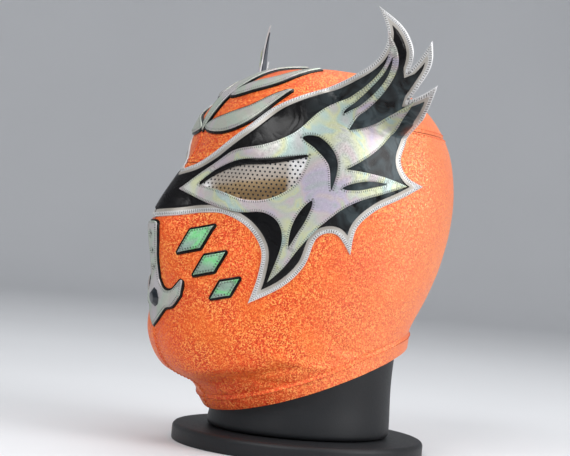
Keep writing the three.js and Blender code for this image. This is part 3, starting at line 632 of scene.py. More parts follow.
def sheet_piece(name, shape, chart, foot, top, material, spacing=1.9, rims=(0.3, 0.8, 1.5)):
    """A closed sheet over the head: top is a function of the distance from the edge."""
    points, triangles, depth, along = shape.fill(spacing, rims)
    count = len(points)
    places = np.vstack([chart(points, top(depth)), chart(points, np.full(count, float(foot)))])
    sides = np.vstack([triangles[:, [0, 1]], triangles[:, [1, 2]], triangles[:, [2, 0]]])
    pairs = set(map(tuple, sides.tolist()))
    walls = [(a + count, b + count, b, a) for a, b in pairs if (b, a) not in pairs]
    faces = triangles.tolist() + (triangles[:, ::-1] + count).tolist() + walls
    uv = np.tile(np.stack([along, depth], -1), (2, 1))
    return new_mesh(name, places, faces, material, uv)


def rounded_edge(low, high, radius):
    """A sheet's height over the distance from its edge: it rolls over at the edge."""
    def height(depth):
        t = np.clip(depth / radius, 0, 1)
        return low + (high - low) * np.sqrt(1 - (1 - t) ** 2)
    return height


def stitch_line(shape, ring, inset, pitch):
    """Places and directions of stitches along a ring, at a distance inside the shape."""
    ring = turned_left(np.asarray(ring, float))
    moved = ring + inward_normals(ring) * inset
    moved = moved[shape.measure(moved)[0] > abs(inset) * 0.95]
    places = evenly(moved, pitch, closed=True)
    along = np.roll(places, -1, axis=0) - np.roll(places, 1, axis=0)
    along /= np.maximum(np.linalg.norm(along, axis=1, keepdims=True), 1e-9)
    return places, along


SPINDLE = [(0.0, 0.3, -0.9), (0.2, 0.9, 0.0), (0.8, 0.9, 0.0), (1.0, 0.3, -0.9)]
SPINDLE_SIDES = 6


def thread_piece(name, starts, ends, surface, thickness, material):
    """Stitches from start to end points; surface gives points at a height over the sheet."""
    first = surface(starts, 0.0)
    last = surface(ends, 0.0)
    up = surface((starts + ends) / 2, 1.0) - surface((starts + ends) / 2, 0.0)
    up /= np.linalg.norm(up, axis=1, keepdims=True)
    side = np.cross(last - first, up)
    side /= np.maximum(np.linalg.norm(side, axis=1, keepdims=True), 1e-9)
    radius = thickness / 2
    angles = np.arange(SPINDLE_SIDES) * 2 * np.pi / SPINDLE_SIDES
    rings = []
    for share, swell, sink in SPINDLE:
        centre = lerp(first, last, share) + up * radius * sink
        for angle in angles:
            rings.append(centre + (side * math.cos(angle) + up * math.sin(angle)) * radius * swell)
    points = np.stack(rings, 1)
    count = points.shape[1]
    faces = []
    for ring in range(len(SPINDLE) - 1):
        for i in range(SPINDLE_SIDES):
            a = ring * SPINDLE_SIDES + i
            b = ring * SPINDLE_SIDES + (i + 1) % SPINDLE_SIDES
            faces.append((a, b, b + SPINDLE_SIDES, a + SPINDLE_SIDES))
    faces.append(tuple(range(SPINDLE_SIDES))[::-1])
    faces.append(tuple(range(count - SPINDLE_SIDES, count)))
    every = [tuple(k * count + i for i in face) for k in range(len(points)) for face in faces]
    return new_mesh(name, points.reshape(-1, 3), every, material, smooth=80)


def grid_piece(name, columns, rows, place, material, thickness, cut=None):
    """A sheet of cloth from a grid: place gives its outer face over shares across and up, and
    the faces inside the cut shape are taken out."""
    bpy.ops.object.select_all(action="DESELECT")
    bpy.ops.mesh.primitive_grid_add(x_subdivisions=columns, y_subdivisions=rows, size=1)
    piece = bpy.context.object
    piece.name = name
    piece.data.name = name
    flat = np.empty(len(piece.data.vertices) * 3)
    piece.data.vertices.foreach_get("co", flat)
    across, up = flat.reshape(-1, 3)[:, :2].T + 0.5
    piece.data.vertices.foreach_set("co", (place(across, up) * MM).ravel())
    piece.data.update()
    piece.data.materials.append(material)
    bpy.ops.object.mode_set(mode="EDIT")
    bpy.ops.mesh.select_all(action="SELECT")
    bpy.ops.mesh.remove_doubles(threshold=1e-5)
    bpy.ops.object.mode_set(mode="OBJECT")
    if cut:
        cut_out(piece, cut)
    apply_modifier(piece, "SOLIDIFY", thickness=thickness * MM, offset=-1)
    choose(piece)
    bpy.ops.object.shade_smooth_by_angle(angle=math.radians(50))
    return piece


# Materials

def node(tree, kind, inputs=None, **settings):
    """A node with its settings; an input is a value or another node's output."""
    made = tree.nodes.new(kind)
    for key, value in settings.items():
        setattr(made, key, value)
    for key, value in (inputs or {}).items():
        if isinstance(value, bpy.types.NodeSocket):
            tree.links.new(value, made.inputs[key])
        else:
            made.inputs[key].default_value = value
    return made


def maths(tree, operation, a, b=0.0, clamp=False):
    return node(tree, "ShaderNodeMath", {0: a, 1: b}, operation=operation,
                use_clamp=clamp).outputs[0]


def ramp(tree, factor, stops):
    """A colour ramp from (position, colour) stops."""
    made = node(tree, "ShaderNodeValToRGB", {"Fac": factor})
    band = made.color_ramp
    while len(band.elements) < len(stops):
        band.elements.new(1)
    for element, (position, colour) in zip(band.elements, stops):
        element.position = position
        element.color = (*colour, 1)
    return made.outputs["Color"]


def mixed(tree, factor, a, b):
    made = node(tree, "ShaderNodeMix", data_type="RGBA")
    for socket, value in ((made.inputs[0], factor), (made.inputs[6], a), (made.inputs[7], b)):
        if isinstance(value, bpy.types.NodeSocket):
            tree.links.new(value, socket)
        else:
            socket.default_value = value if isinstance(value, float) else (*value, 1)
    return made.outputs[2]


def new_group(name, inputs, outputs):
    """An empty node group with its sockets, and its inside input and output nodes."""
    group = bpy.data.node_groups.new(name, "ShaderNodeTree")
    for title, kind, default in inputs:
        socket = group.interface.new_socket(title, in_out="INPUT", socket_type=kind)
        if default is not None:
            socket.default_value = default
    for title, kind in outputs:
        group.interface.new_socket(title, in_out="OUTPUT", socket_type=kind)
    given = group.nodes.new("NodeGroupInput").outputs
    put = group.nodes.new("NodeGroupOutput").inputs
    return group, given, put


def flake_group():
    """Glitter: a random tone and a tilted normal for each flake."""
    group, given, put = new_group(
        "Glitter flakes",
        [("Vector", "NodeSocketVector", None), ("Scale", "NodeSocketFloat", 900.0),
         ("Tilt", "NodeSocketFloat", 0.4)],
        [("Tone", "NodeSocketFloat"), ("Mask", "NodeSocketFloat"), ("Normal", "NodeSocketVector")])
    cells = node(group, "ShaderNodeTexVoronoi", {"Vector": given["Vector"],
                                                 "Scale": given["Scale"]})
    split = node(group, "ShaderNodeSeparateColor", {0: cells.outputs["Color"]})
    away = node(group, "ShaderNodeVectorMath", {0: cells.outputs["Color"], 1: (0.5, 0.5, 0.5)},
                operation="SUBTRACT")
    tilt = node(group, "ShaderNodeVectorMath", {0: away.outputs[0]}, operation="SCALE")
    group.links.new(given["Tilt"], tilt.inputs["Scale"])
    surface = node(group, "ShaderNodeNewGeometry")
    leaning = node(group, "ShaderNodeVectorMath",
                   {0: surface.outputs["Normal"], 1: tilt.outputs[0]}, operation="ADD")
    unit = node(group, "ShaderNodeVectorMath", {0: leaning.outputs[0]}, operation="NORMALIZE")
    group.links.new(split.outputs[0], put["Tone"])
    group.links.new(split.outputs[1], put["Mask"])
    group.links.new(unit.outputs[0], put["Normal"])
    return group


def grain_group():
    """Fine grain with slow unevenness, as a value and as a normal."""
    group, given, put = new_group(
        "Fine grain",
        [("Vector", "NodeSocketVector", None), ("Scale", "NodeSocketFloat", 1500.0),
         ("Slow scale", "NodeSocketFloat", 30.0), ("Height", "NodeSocketFloat", 0.2)],
        [("Value", "NodeSocketFloat"), ("Slow", "NodeSocketFloat"), ("Normal", "NodeSocketVector")])
    fine = node(group, "ShaderNodeTexNoise", {"Vector": given["Vector"], "Scale": given["Scale"],
                                              "Detail": 3.0})
    slow = node(group, "ShaderNodeTexNoise", {"Vector": given["Vector"],
                                              "Scale": given["Slow scale"], "Detail": 3.0})
    bump = node(group, "ShaderNodeBump", {"Height": fine.outputs[0], "Strength": given["Height"],
                                          "Distance": 0.0002})
    group.links.new(fine.outputs[0], put["Value"])
    group.links.new(slow.outputs[0], put["Slow"])
    group.links.new(bump.outputs[0], put["Normal"])
    return group


def stitch_group():
    """A row of stitches along an edge: a mask of painted shade in the gaps between the stitches,
    and the depth from the edge.
    """
    group, given, put = new_group(
        "Stitch row",
        [("Vector", "NodeSocketVector", None), ("Pitch", "NodeSocketFloat", 0.002),
         ("Inset", "NodeSocketFloat", 0.001), ("Reach", "NodeSocketFloat", 0.0006)],
        [("Painted gap shade", "NodeSocketFloat"), ("Depth", "NodeSocketFloat")])
    split = node(group, "ShaderNodeSeparateXYZ", {0: given["Vector"]})
    step = maths(group, "FRACT", maths(group, "DIVIDE", split.outputs["X"], given["Pitch"]))
    # Painted shade: the gaps between the stitches are marked dark.
    stitch_gap_shade = maths(group, "LESS_THAN", step, 0.42)
    off = maths(group, "ABSOLUTE", maths(group, "SUBTRACT", split.outputs["Y"], given["Inset"]))
    near = maths(group, "LESS_THAN", off, given["Reach"])
    painted_gap_shade = maths(group, "MULTIPLY", maths(group, "MULTIPLY", stitch_gap_shade, near), 0.85)
    group.links.new(painted_gap_shade, put["Painted gap shade"])
    group.links.new(split.outputs["Y"], put["Depth"])
    return group


def new_material(name):
    """A material with its tree, its Principled shader and the object's coordinates."""
    material = bpy.data.materials.new(name)
    material.use_nodes = True
    tree = material.node_tree
    shader = tree.nodes["Principled BSDF"]
    coordinates = node(tree, "ShaderNodeTexCoord").outputs["Object"]
    return material, tree, shader, coordinates


def use_group(tree, group, inputs):
    made = node(tree, "ShaderNodeGroup", node_tree=group)
    for key, value in inputs.items():
        if isinstance(value, bpy.types.NodeSocket):
            tree.links.new(value, made.inputs[key])
        else:
            made.inputs[key].default_value = value
    return made.outputs


def set_shader(tree, shader, **values):
    """Puts values or links on the shader; a name's underscores stand for spaces."""
    for key, value in values.items():
        socket = shader.inputs[key.replace("_", " ")]
        if isinstance(value, bpy.types.NodeSocket):
            tree.links.new(value, socket)
        else:
            socket.default_value = value


def shifted(tree, value, factor, offset):
    """value * factor + offset"""
    made = maths(tree, "MULTIPLY_ADD", value, factor)
    made.node.inputs[2].default_value = offset
    return made


def stitch_row(tree, grain, pitch, inset, reach):
    """The stitch row's outputs on the sheet's own edge map."""
    edge = node(tree, "ShaderNodeUVMap", uv_map="edge").outputs[0]
    return use_group(tree, grain["stitches"], {"Vector": edge, "Pitch": pitch, "Inset": inset,
                                               "Reach": reach})


def glitter_fabric(name, settings, grain):
    """Metallic glitter on stretch cloth: fine flakes, redder and yellower patches, and a painted
    sheen of paler coral towards the back of the head."""
    material, tree, shader, place = new_material(name)
    flakes = use_group(tree, grain["flakes"], {"Vector": place, "Scale": 1 / settings.flake_size,
                                               "Tilt": 0.5})
    fine = node(tree, "ShaderNodeTexNoise", {"Vector": place, "Scale": 780.0, "Detail": 3.0,
                                             "Roughness": 0.65})
    patches = node(tree, "ShaderNodeTexNoise", {"Vector": place, "Scale": 48.0, "Detail": 2.0})
    blush = node(tree, "ShaderNodeTexNoise", {"Vector": place, "Scale": 21.0, "Detail": 2.0})
    tone = maths(tree, "ADD", shifted(tree, flakes["Tone"], 0.5, -0.13),
                 maths(tree, "MULTIPLY", fine.outputs[0], 0.76))
    base = np.array(settings.colour)
    glint = np.array(settings.glint)
    colour = ramp(tree, tone, [(0.28, tuple(base * (0.72, 0.4, 0.25))), (0.45, tuple(base)),
                               (0.6, tuple(lerp(base, glint, 0.4))), (0.76, tuple(glint))])
    yellow = mixed(tree, shifted(tree, patches.outputs[0], 1.6, -0.62), colour,
                   tuple(base * (1.1, 2.2, 1.3)))
    red = mixed(tree, shifted(tree, blush.outputs[0], 1.6, -0.65), yellow,
                tuple(base * (0.98, 0.62, 0.5)))
    # Painted sheen: the colour turns a paler coral towards the back of the head, where the light
    # falls.
    depth = node(tree, "ShaderNodeSeparateXYZ", {0: place}).outputs["Y"]
    back = node(tree, "ShaderNodeMapRange", {"Value": depth, "From Min": -0.045, "From Max": 0.07,
                                             "To Max": 0.62}).outputs[0]
    colour_with_painted_sheen = mixed(tree, back, red, tuple(np.minimum(base * (1.15, 4.3, 18.0), 1)))
    set_shader(tree, shader, Base_Color=colour_with_painted_sheen, Roughness=shifted(tree, flakes["Mask"], 0.35, 0.33),
               Metallic=0.3, Normal=flakes["Normal"], Sheen_Weight=0.12, Sheen_Roughness=0.4,
               Sheen_Tint=(1.0, 0.62, 0.5, 1.0))
    return material


def plain_finish(name, colour, grain, roughness, metallic=0.0, *, bump, coat=0.0, scale=1500.0,
                 slow=30.0, spread=0.12, specular=0.5):
    """A finish of one colour, with grain, slow shading and uneven gloss."""
    material, tree, shader, place = new_material(name)
    texture = use_group(tree, grain["grain"], {"Vector": place, "Scale": scale,
                                               "Slow scale": slow, "Height": bump})
    darker = tuple(0.72 * c for c in colour)
    lighter = tuple(min(1.0, 1.18 * c) for c in colour)
    shade = ramp(tree, texture["Slow"], [(0.3, darker), (0.5, tuple(colour)), (0.7, lighter)])
    rough = shifted(tree, texture["Value"], spread, roughness - spread / 2)
    set_shader(tree, shader, Base_Color=shade, Roughness=rough, Metallic=metallic,
               Normal=texture["Normal"], Coat_Weight=coat, Specular_IOR_Level=specular)
    shader.inputs["Coat Roughness"].default_value = 0.06
    return material


def border_finish(name, grain, pitch):
    """The sewn border: a white row of stitches outside, ribbed with painted shade in the gaps
    between them, and smooth beige grey inside.
    """
    material, tree, shader, place = new_material(name)
    texture = use_group(tree, grain["grain"], {"Vector": place, "Scale": 1100.0,
                                               "Slow scale": 45.0, "Height": 0.3})
    smooth = ramp(tree, texture["Slow"], [(0.3, (0.30, 0.27, 0.23)), (0.7, (0.52, 0.49, 0.45))])
    ribbed = ramp(tree, texture["Slow"], [(0.3, (0.56, 0.56, 0.56)), (0.7, (0.74, 0.74, 0.74))])
    row = stitch_row(tree, grain, pitch, 0.0014, 0.0009)
    # Painted shade in the gaps between the stitches, darkening the white row.
    ribbed_with_gap_shade = mixed(tree, row["Painted gap shade"], ribbed, (0.07, 0.07, 0.07))
    inner = node(tree, "ShaderNodeMapRange", {"Value": row["Depth"], "From Min": 0.0023,
                                              "From Max": 0.0028}).outputs[0]
    set_shader(tree, shader, Base_Color=mixed(tree, inner, ribbed_with_gap_shade, smooth), Metallic=0.25,
               Roughness=shifted(tree, texture["Value"], 0.15, 0.3), Normal=texture["Normal"])
    return material


def patent_finish(name, grain):
    """Patent vinyl: deep black at the face and on the back opening, with a painted grey blue
    reflection in streaks at the temples."""
    material, tree, shader, place = new_material(name)
    texture = use_group(tree, grain["grain"], {"Vector": place, "Scale": 420.0,
                                               "Slow scale": 26.0, "Height": 0.06})
    crease = node(tree, "ShaderNodeTexNoise", {"Vector": place, "Scale": 70.0, "Detail": 2.5,
                                               "Distortion": 0.9})
    bump = node(tree, "ShaderNodeBump", {"Height": crease.outputs[0], "Strength": 0.45,
                                         "Distance": 0.002, "Normal": texture["Normal"]})
    split = node(tree, "ShaderNodeSeparateXYZ", {0: place})
    back = node(tree, "ShaderNodeMapRange", {"Value": split.outputs["Y"], "From Min": -0.045,
                                             "From Max": 0.005}).outputs[0]
    front = node(tree, "ShaderNodeMapRange", {"Value": split.outputs["Y"], "From Min": 0.055,
                                              "From Max": 0.04}).outputs[0]
    high = node(tree, "ShaderNodeMapRange", {"Value": split.outputs["Z"], "From Min": 0.255,
                                             "From Max": 0.225}).outputs[0]
    streak = node(tree, "ShaderNodeMapRange", {"Value": crease.outputs[0], "From Min": 0.36,
                                               "From Max": 0.62}).outputs[0]
    # Painted reflection: grey blue streaks of soft light at the temples, kept off the face, the top
    # and the back opening.
    painted_reflection_mask = maths(tree, "MULTIPLY", maths(tree, "MULTIPLY", back, high), streak)
    painted_reflection_mask = maths(tree, "MULTIPLY", painted_reflection_mask, front)
    black = ramp(tree, texture["Slow"], [(0.35, (0.0025, 0.0025, 0.003)),
                                         (0.65, (0.006, 0.0055, 0.006))])
    shade = mixed(tree, painted_reflection_mask, black, (0.062, 0.084, 0.092))
    rough = shifted(tree, streak, 0.16, 0.16)
    set_shader(tree, shader, Base_Color=shade, Normal=bump.outputs[0], Coat_Weight=0.05,
               Roughness=rough, Coat_Roughness=0.1, Specular_IOR_Level=0.16)
    return material


def shifting_finish(name, stops, grain, pitch, roughness=0.34):
    """Holographic vinyl: pastel tints that drift over a grey silver, with a row of stitches whose
    gaps get painted shade.
    """
    material, tree, shader, place = new_material(name)
    wander = node(tree, "ShaderNodeTexNoise", {"Vector": place, "Scale": 30.0, "Detail": 2.0,
                                               "Distortion": 1.2})
    tint = ramp(tree, wander.outputs[0], stops)
    sparkle = use_group(tree, grain["flakes"], {"Vector": place, "Scale": 1500.0, "Tilt": 0.14})
    pale = mixed(tree, maths(tree, "MULTIPLY", sparkle["Tone"], 0.22), tint, (0.62, 0.63, 0.63))
    # Painted shade in the gaps between the stitches.
    sewn_with_gap_shade = mixed(tree, stitch_row(tree, grain, pitch, 0.001, 0.0006)["Painted gap shade"], pale,
                 (0.10, 0.11, 0.10))
    rough = shifted(tree, sparkle["Mask"], 0.14, roughness)
    set_shader(tree, shader, Base_Color=sewn_with_gap_shade, Roughness=rough, Metallic=0.45,
               Normal=sparkle["Normal"])
    return material


def mesh_finish(name, grain):
    """Perforated eye foil with a painted reflection, pale silver above and golden brown below, and
    a painted white highlight at both corners.
    """
    material, tree, shader, place = new_material(name)
    split = node(tree, "ShaderNodeSeparateXYZ", {0: place})
    uneven = node(tree, "ShaderNodeTexNoise", {"Vector": place, "Scale": 60.0, "Detail": 4.0})
    # Painted reflection: golden brown low on the foil, pale silver high up, along a slanted height.
    slant = maths(tree, "ADD", split.outputs["Z"], shifted(tree, split.outputs["Y"], -0.22, 0))
    level = node(tree, "ShaderNodeMapRange", {"Value": slant, "From Min": 0.179,
                                              "From Max": 0.195})
    level = maths(tree, "ADD", level.outputs[0], shifted(tree, uneven.outputs[0], 0.4, -0.2))
    colour = ramp(tree, level, [(0.1, (0.20, 0.125, 0.055)), (0.45, (0.34, 0.24, 0.13)),
                                (0.6, (0.44, 0.37, 0.30)), (1.0, (0.50, 0.45, 0.40))])
    # Painted highlight: white near the foil's rim at both corners of the eye.
    edge = node(tree, "ShaderNodeSeparateXYZ",
                {0: node(tree, "ShaderNodeUVMap", uv_map="edge").outputs[0]}).outputs["Y"]
    rim = maths(tree, "LESS_THAN", edge, 0.0042)
    behind = node(tree, "ShaderNodeMapRange", {"Value": split.outputs["Y"], "From Min": -0.054,
                                               "From Max": -0.050}).outputs[0]
    before = node(tree, "ShaderNodeMapRange", {"Value": split.outputs["Y"], "From Min": -0.085,
                                               "From Max": -0.089}).outputs[0]
    glint = maths(tree, "MULTIPLY", rim, maths(tree, "ADD", behind, before), clamp=True)
    glint = maths(tree, "MULTIPLY", glint, shifted(tree, uneven.outputs[0], 2.4, -0.5), clamp=True)
    texture = use_group(tree, grain["grain"], {"Vector": place, "Scale": 900.0, "Height": 0.35})
    set_shader(tree, shader, Base_Color=mixed(tree, glint, colour, (0.95, 0.95, 0.96)),
               Roughness=0.38, Metallic=0.5, Normal=texture["Normal"])
    return material


HOLO_STOPS = [(0.28, (0.33, 0.38, 0.37)), (0.38, (0.44, 0.38, 0.49)), (0.45, (0.50, 0.42, 0.42)),
              (0.50, (0.44, 0.46, 0.41)), (0.56, (0.52, 0.54, 0.31)), (0.61, (0.37, 0.50, 0.46)),
              (0.72, (0.43, 0.44, 0.43))]
CREST_STOPS = [(0.32, (0.40, 0.35, 0.36)), (0.45, (0.44, 0.45, 0.38)), (0.52, (0.39, 0.46, 0.38)),
               (0.58, (0.47, 0.44, 0.43)), (0.70, (0.49, 0.46, 0.48))]
GREEN_STOPS = [(0.30, (0.22, 0.30, 0.24)), (0.42, (0.26, 0.42, 0.30)), (0.52, (0.16, 0.66, 0.22)),
               (0.60, (0.26, 0.44, 0.32)), (0.72, (0.38, 0.42, 0.46))]


def make_materials(settings, pitch):
    """Every finish of the mask and its stand, by name."""
    grain = {"flakes": flake_group(), "grain": grain_group(), "stitches": stitch_group()}
    return {
        "fabric": glitter_fabric("glitter stretch fabric", settings, grain),
        "border": border_finish("sewn silver border", grain, pitch),
        "silver": shifting_finish("silver guard vinyl", CREST_STOPS, grain, pitch, 0.4),
        "vinyl": patent_finish("black patent vinyl", grain),
        "lining": plain_finish("fin lining", (0.012, 0.020, 0.038), grain, 0.3, coat=0.2,
                               bump=0.3, scale=900.0),
        "holo": shifting_finish("holographic vinyl", HOLO_STOPS, grain, pitch),
        "crest": shifting_finish("grey holographic vinyl", CREST_STOPS, grain, pitch, 0.36),
        "green": shifting_finish("holographic green vinyl", GREEN_STOPS, grain, 0.0019, 0.3),
        "stone": plain_finish("blue black stone", (0.004, 0.007, 0.012), grain, 0.1, coat=0.2,
                              bump=0.02),
        "mesh": mesh_finish("perforated eye foil", grain),
        "thread": plain_finish("silver thread", (0.62, 0.61, 0.59), grain, 0.45, 0.1, bump=0.5),
        "fine_thread": plain_finish("grey thread", (0.34, 0.35, 0.33), grain, 0.5, bump=0.5),
        "dark_thread": plain_finish("dark thread", (0.03, 0.035, 0.035), grain, 0.5, bump=0.5),
        "seam_thread": plain_finish("orange thread", (0.62, 0.10, 0.02), grain, 0.5, bump=0.5),
        "metal": plain_finish("eyelet metal", (0.56, 0.56, 0.57), grain, 0.25, 1.0, bump=0.1),
        "stand": plain_finish("display head plastic", (0.013, 0.014, 0.016), grain, 0.5,
                              bump=0.3, scale=700.0, slow=20.0, spread=0.2, specular=0.3),
    }


FINISH = {}


# Settings

class FabricSettings(bpy.types.PropertyGroup):
    """The stretch fabric of the mask."""

    colour: FloatVectorProperty(name="Fabric colour", description="Ground colour of the fabric",
                                default=(0.80, 0.076, 0.009), size=3, subtype="COLOR",
                                min=0, max=1)
    glint: FloatVectorProperty(name="Glint colour", description="Colour of the brightest flakes",
                               default=(1.0, 0.45, 0.11), size=3, subtype="COLOR", min=0, max=1)
    flake_size: FloatProperty(name="Flake size", description="Size of a glitter flake",
                              default=0.0007, min=0.0003, unit="LENGTH")
    stitch_pitch: FloatProperty(name="Stitch pitch", description="Distance from stitch to stitch",
                                default=0.0027, min=0.001, unit="LENGTH")


class TrimSettings(bpy.types.PropertyGroup):
    """The sheets sewn over the fabric."""

    stitch_pitch: FloatProperty(name="Trim stitch pitch",
                                description="Distance between the stitches of an edge",
                                default=0.00135, min=0.0008, unit="LENGTH")
    hole_pitch: FloatProperty(name="Perforation pitch",
                              description="Distance between the holes of the eye foil",
                              default=0.0031, min=0.002, unit="LENGTH")
    hole_size: FloatProperty(name="Perforation size", description="Width of a hole",
                             default=0.0014, min=0.0005, unit="LENGTH")


class StandSettings(bpy.types.PropertyGroup):
    """The display head and the floor."""

    edge_segments: IntProperty(name="Edge segments", description="Steps round the plate's edge",
                               default=6, min=2)
    floor_colour: FloatVectorProperty(name="Floor colour", description="Colour of the backdrop",
                                      default=(0.70, 0.71, 0.73), size=3, subtype="COLOR",
                                      min=0, max=1)


# Fabric

def seam_row(phi):
    return lerp(SEAM["front"], SEAM["back"], ease_between(SEAM["from"], SEAM["to"], phi))


def hem_row(phi):
    forward = np.cos(phi)
    end = np.where(forward > 0, HEM_SPAN["front"], HEM_SPAN["back"])
    return HEM - lerp(HEM_SPAN["side"], end, np.abs(forward))


def row_length(phi, v):
    """Millimetres of fabric in one section step, downwards."""
    step = fabric_surface(phi, v + 0.05) - fabric_surface(phi, v - 0.05)
    return np.linalg.norm(step, axis=-1) / 0.1


# Soft folds: angle and row of the middle, half length along the angle in degrees, lean in rows
# over the half length, half width in rows, and height.
FOLDS = [
    (38, 10.5, 30, -0.5, 0.35, -2.0),
    (62, 10.0, 22, 0.9, 0.3, 1.3),
    (15, 7.15, 5, 0.12, 0.07, -0.9),
    (16, 7.4, 5, 0.1, 0.08, 0.7),
    (17, 7.62, 4, 0.08, 0.06, -0.6),
    (30, 9.9, 16, -0.3, 0.22, 0.7),
    (50, 11.0, 18, 0.5, 0.16, -0.8),
    (84, 9.3, 14, 0.9, 0.35, -0.7),
    (20, 11.1, 10, 0.4, 0.15, 0.7),
    (104, 6.8, 14, 0.8, 0.4, 0.35),
    (128, 7.6, 14, -0.6, 0.4, -0.4),
    (150, 5.6, 12, 0.7, 0.4, 0.3),
]


# Low relief of the fabric. A groove lies in a seam and a welt beside it; each has its height and
# half width, and a welt its distance from the seam too.
GROOVES = {"middle": (-0.7, 0.8), "crown": (-0.4, 0.8), "hem": (-0.55, 0.8)}
WELTS = {"middle": (0.3, 1.1, 2.2), "crown": (0.25, 1.2, 2.2), "hem": (0.5, 0.7, 0.9)}
HEM_GROOVE_ABOVE = 1.1
SLACK = 0.12


def hump(distance, half_width):
    return np.exp(-((distance / half_width) ** 2))


def uneven_wave(turn, drift):
    """A share of a welt's height, from a half to the whole, in waves of uneven length."""
    return 0.75 + 0.25 * np.sin(turn + 2 * np.sin(drift))


def fabric_relief(phi, v):
    """Height of seams, hem and folds over the fabric's plain surface."""
    radius, z = skin(phi, v)
    side = radius * np.abs(np.sin(phi))
    length = row_length(phi, v)
    from_seam = np.abs(v - seam_row(phi)) * length
    under_hem = (v - hem_row(phi)) * length
    pucker = uneven_wave(z * 0.9, z * 0.23)
    ripple = uneven_wave(phi * 70, phi * 19)
    height = HEM_RISE * ease_between(-0.2, 1.4, under_hem)
    height += SLACK * np.sin(phi * 9 + z * 0.05) * np.sin(z * 0.07 + phi * 4)
    for seam, distance, wave in (("middle", side, pucker), ("crown", from_seam, ripple),
                                 ("hem", under_hem, ripple)):
        depth, half_width = GROOVES[seam]
        above = HEM_GROOVE_ABOVE if seam == "hem" else 0
        height += depth * hump(distance + above, half_width)
        rise, half_width, beside = WELTS[seam]
        height += rise * wave * hump(distance - beside, half_width)
    for angle, row, half, lean, width, rise in FOLDS:
        along = (np.degrees(phi) - angle) / half
        off = (v - row - lean * along) / width
        height += rise * np.exp(-along ** 2 - off ** 2)
    return height


def opening_half_width(z):
    """Half the width of the back opening: it ends in a round top."""
    radius = 2 * OPENING["half_width"]
    up = np.clip((z - (OPENING["top"] - radius)) / radius, 0, 1)
    open_side = OPENING["half_width"] * np.sqrt(1 - up ** 2)
    return np.where(z < OPENING["top"], np.maximum(open_side, GAP / 2), GAP / 2)


def fabric_edge_angles(v, opened):
    """Where a half panel starts at the face and ends at the back, at a row."""
    front = skin(np.zeros_like(v), v)[0]
    back, back_z = skin(np.full_like(v, np.pi), v)
    half = opening_half_width(back_z) if opened else GAP / 2
    start = np.arcsin(np.clip(GAP / 2 / np.maximum(front, 1), 0, 1))
    end = np.pi - np.arcsin(np.clip(half / np.maximum(back, 1), 0, 1))
    return start, end


def on_fabric(phi, v, height=0.0):
    return raised(fabric_surface, phi, v, fabric_relief(phi, v) + height, FABRIC_STEP)


def crown_place(across, up):
    v = seam_row(np.pi * across) * (1 - up)
    start, end = fabric_edge_angles(v, False)
    return on_fabric(lerp(start, end, across), np.maximum(v, 1e-4))


HEM_SHARE = 0.13
GRID = {"crown": (150, 64), "side": (180, 124), "tongue": (40, 70)}
# Topstitches: distances from the crown seam, from the hem and from the middle seam, height over
# the fabric, thickness, and length as a share of the pitch.
TOPSTITCH = {"crown": 2.0, "hem": 0.9, "middle": 2.2, "lift": 0.1, "thickness": 0.55,
             "share": 0.72}
# How far short of the middle the topstitches round the head stop, at the face and at the opening.
STITCH_MARGIN = {"face": 0.04, "opening": 0.1}
# Rows of topstitches beside the middle seam: from, to, and whether at the back.
MIDDLE_STITCH_SPANS = [(0.4, 6.4, False), (8.8, 11.8, False), (0.4, 3.9, True)]
EYE_AREA = {"bottom": 150, "top": 200, "behind": -30}


def side_place(across, up):
    nominal = np.pi * across
    hem = hem_row(nominal)
    upper = lerp(hem, seam_row(nominal) + 0.02, (up - HEM_SHARE) / (1 - HEM_SHARE))
    v = np.where(up < HEM_SHARE, lerp(HEM, hem, up / HEM_SHARE), upper)
    start, end = fabric_edge_angles(v, True)
    return on_fabric(lerp(start, end, across), v)


def tongue_place(across, up):
    phi = lerp(TONGUE["from"], 2 * np.pi - TONGUE["from"], across)
    folded = np.pi - np.abs(np.pi - phi)
    v = lerp(HEM, lerp(seam_row(folded), 5, 0.35), up)
    return raised(fabric_surface, phi, v, np.full(len(phi), TONGUE["depth"][1]), FABRIC_STEP)


def fabric_thread(name, phi, v, along, length, material):
    """Topstitches on the fabric, at angles and rows, running along a (angle, row) direction."""
    half = along * length / 2
    centre = np.stack([phi, v], -1)
    surface = lambda at, height: on_fabric(at[:, 0], at[:, 1], height + TOPSTITCH["lift"])
    return thread_piece(name, centre - half, centre + half, surface, TOPSTITCH["thickness"],
                        material)


def stitches_round(row_of, offset, pitch, start, end):
    """Angles and rows of stitches beside a line that runs round the head."""
    dense = np.linspace(start, end, 900)
    row = row_of(dense)
    row = row + offset / row_length(dense, row)
    points = fabric_surface(dense, row)
    lengths = np.concatenate([[0], np.cumsum(np.linalg.norm(np.diff(points, axis=0), axis=1))])
    at = np.arange(pitch / 2, lengths[-1], pitch)
    phi = np.interp(at, lengths, dense)
    ahead = np.interp(at + 1, lengths, dense)
    rows = np.interp(phi, dense, row)
    along = np.stack([ahead - phi, np.interp(ahead, dense, row) - rows], -1)
    return phi, rows, along


def stitches_down(offset, pitch, top, bottom, at_back):
    """Angles and rows of stitches beside the middle seam."""
    dense = np.linspace(top, bottom, 900)
    middle = np.pi if at_back else 0.0
    radius = skin(np.full(900, middle), dense)[0]
    lean = np.arcsin(np.clip(offset / np.maximum(radius, offset), 0, 1))
    phi = middle - lean if at_back else lean
    points = fabric_surface(phi, dense)
    lengths = np.concatenate([[0], np.cumsum(np.linalg.norm(np.diff(points, axis=0), axis=1))])
    at = np.arange(pitch / 2, lengths[-1] - 1, pitch)
    rows = np.interp(at, lengths, dense)
    ahead = np.interp(at + 1, lengths, dense)
    angle = np.interp(rows, dense, phi)
    along = np.stack([np.interp(ahead, dense, phi) - angle, ahead - rows], -1)
    return angle, rows, along


def joined_threads(name, rows, length, material):
    phi, v, along = (np.concatenate([row[i] for row in rows]) for i in range(3))
    return fabric_thread(name, phi, v, along, length, material)


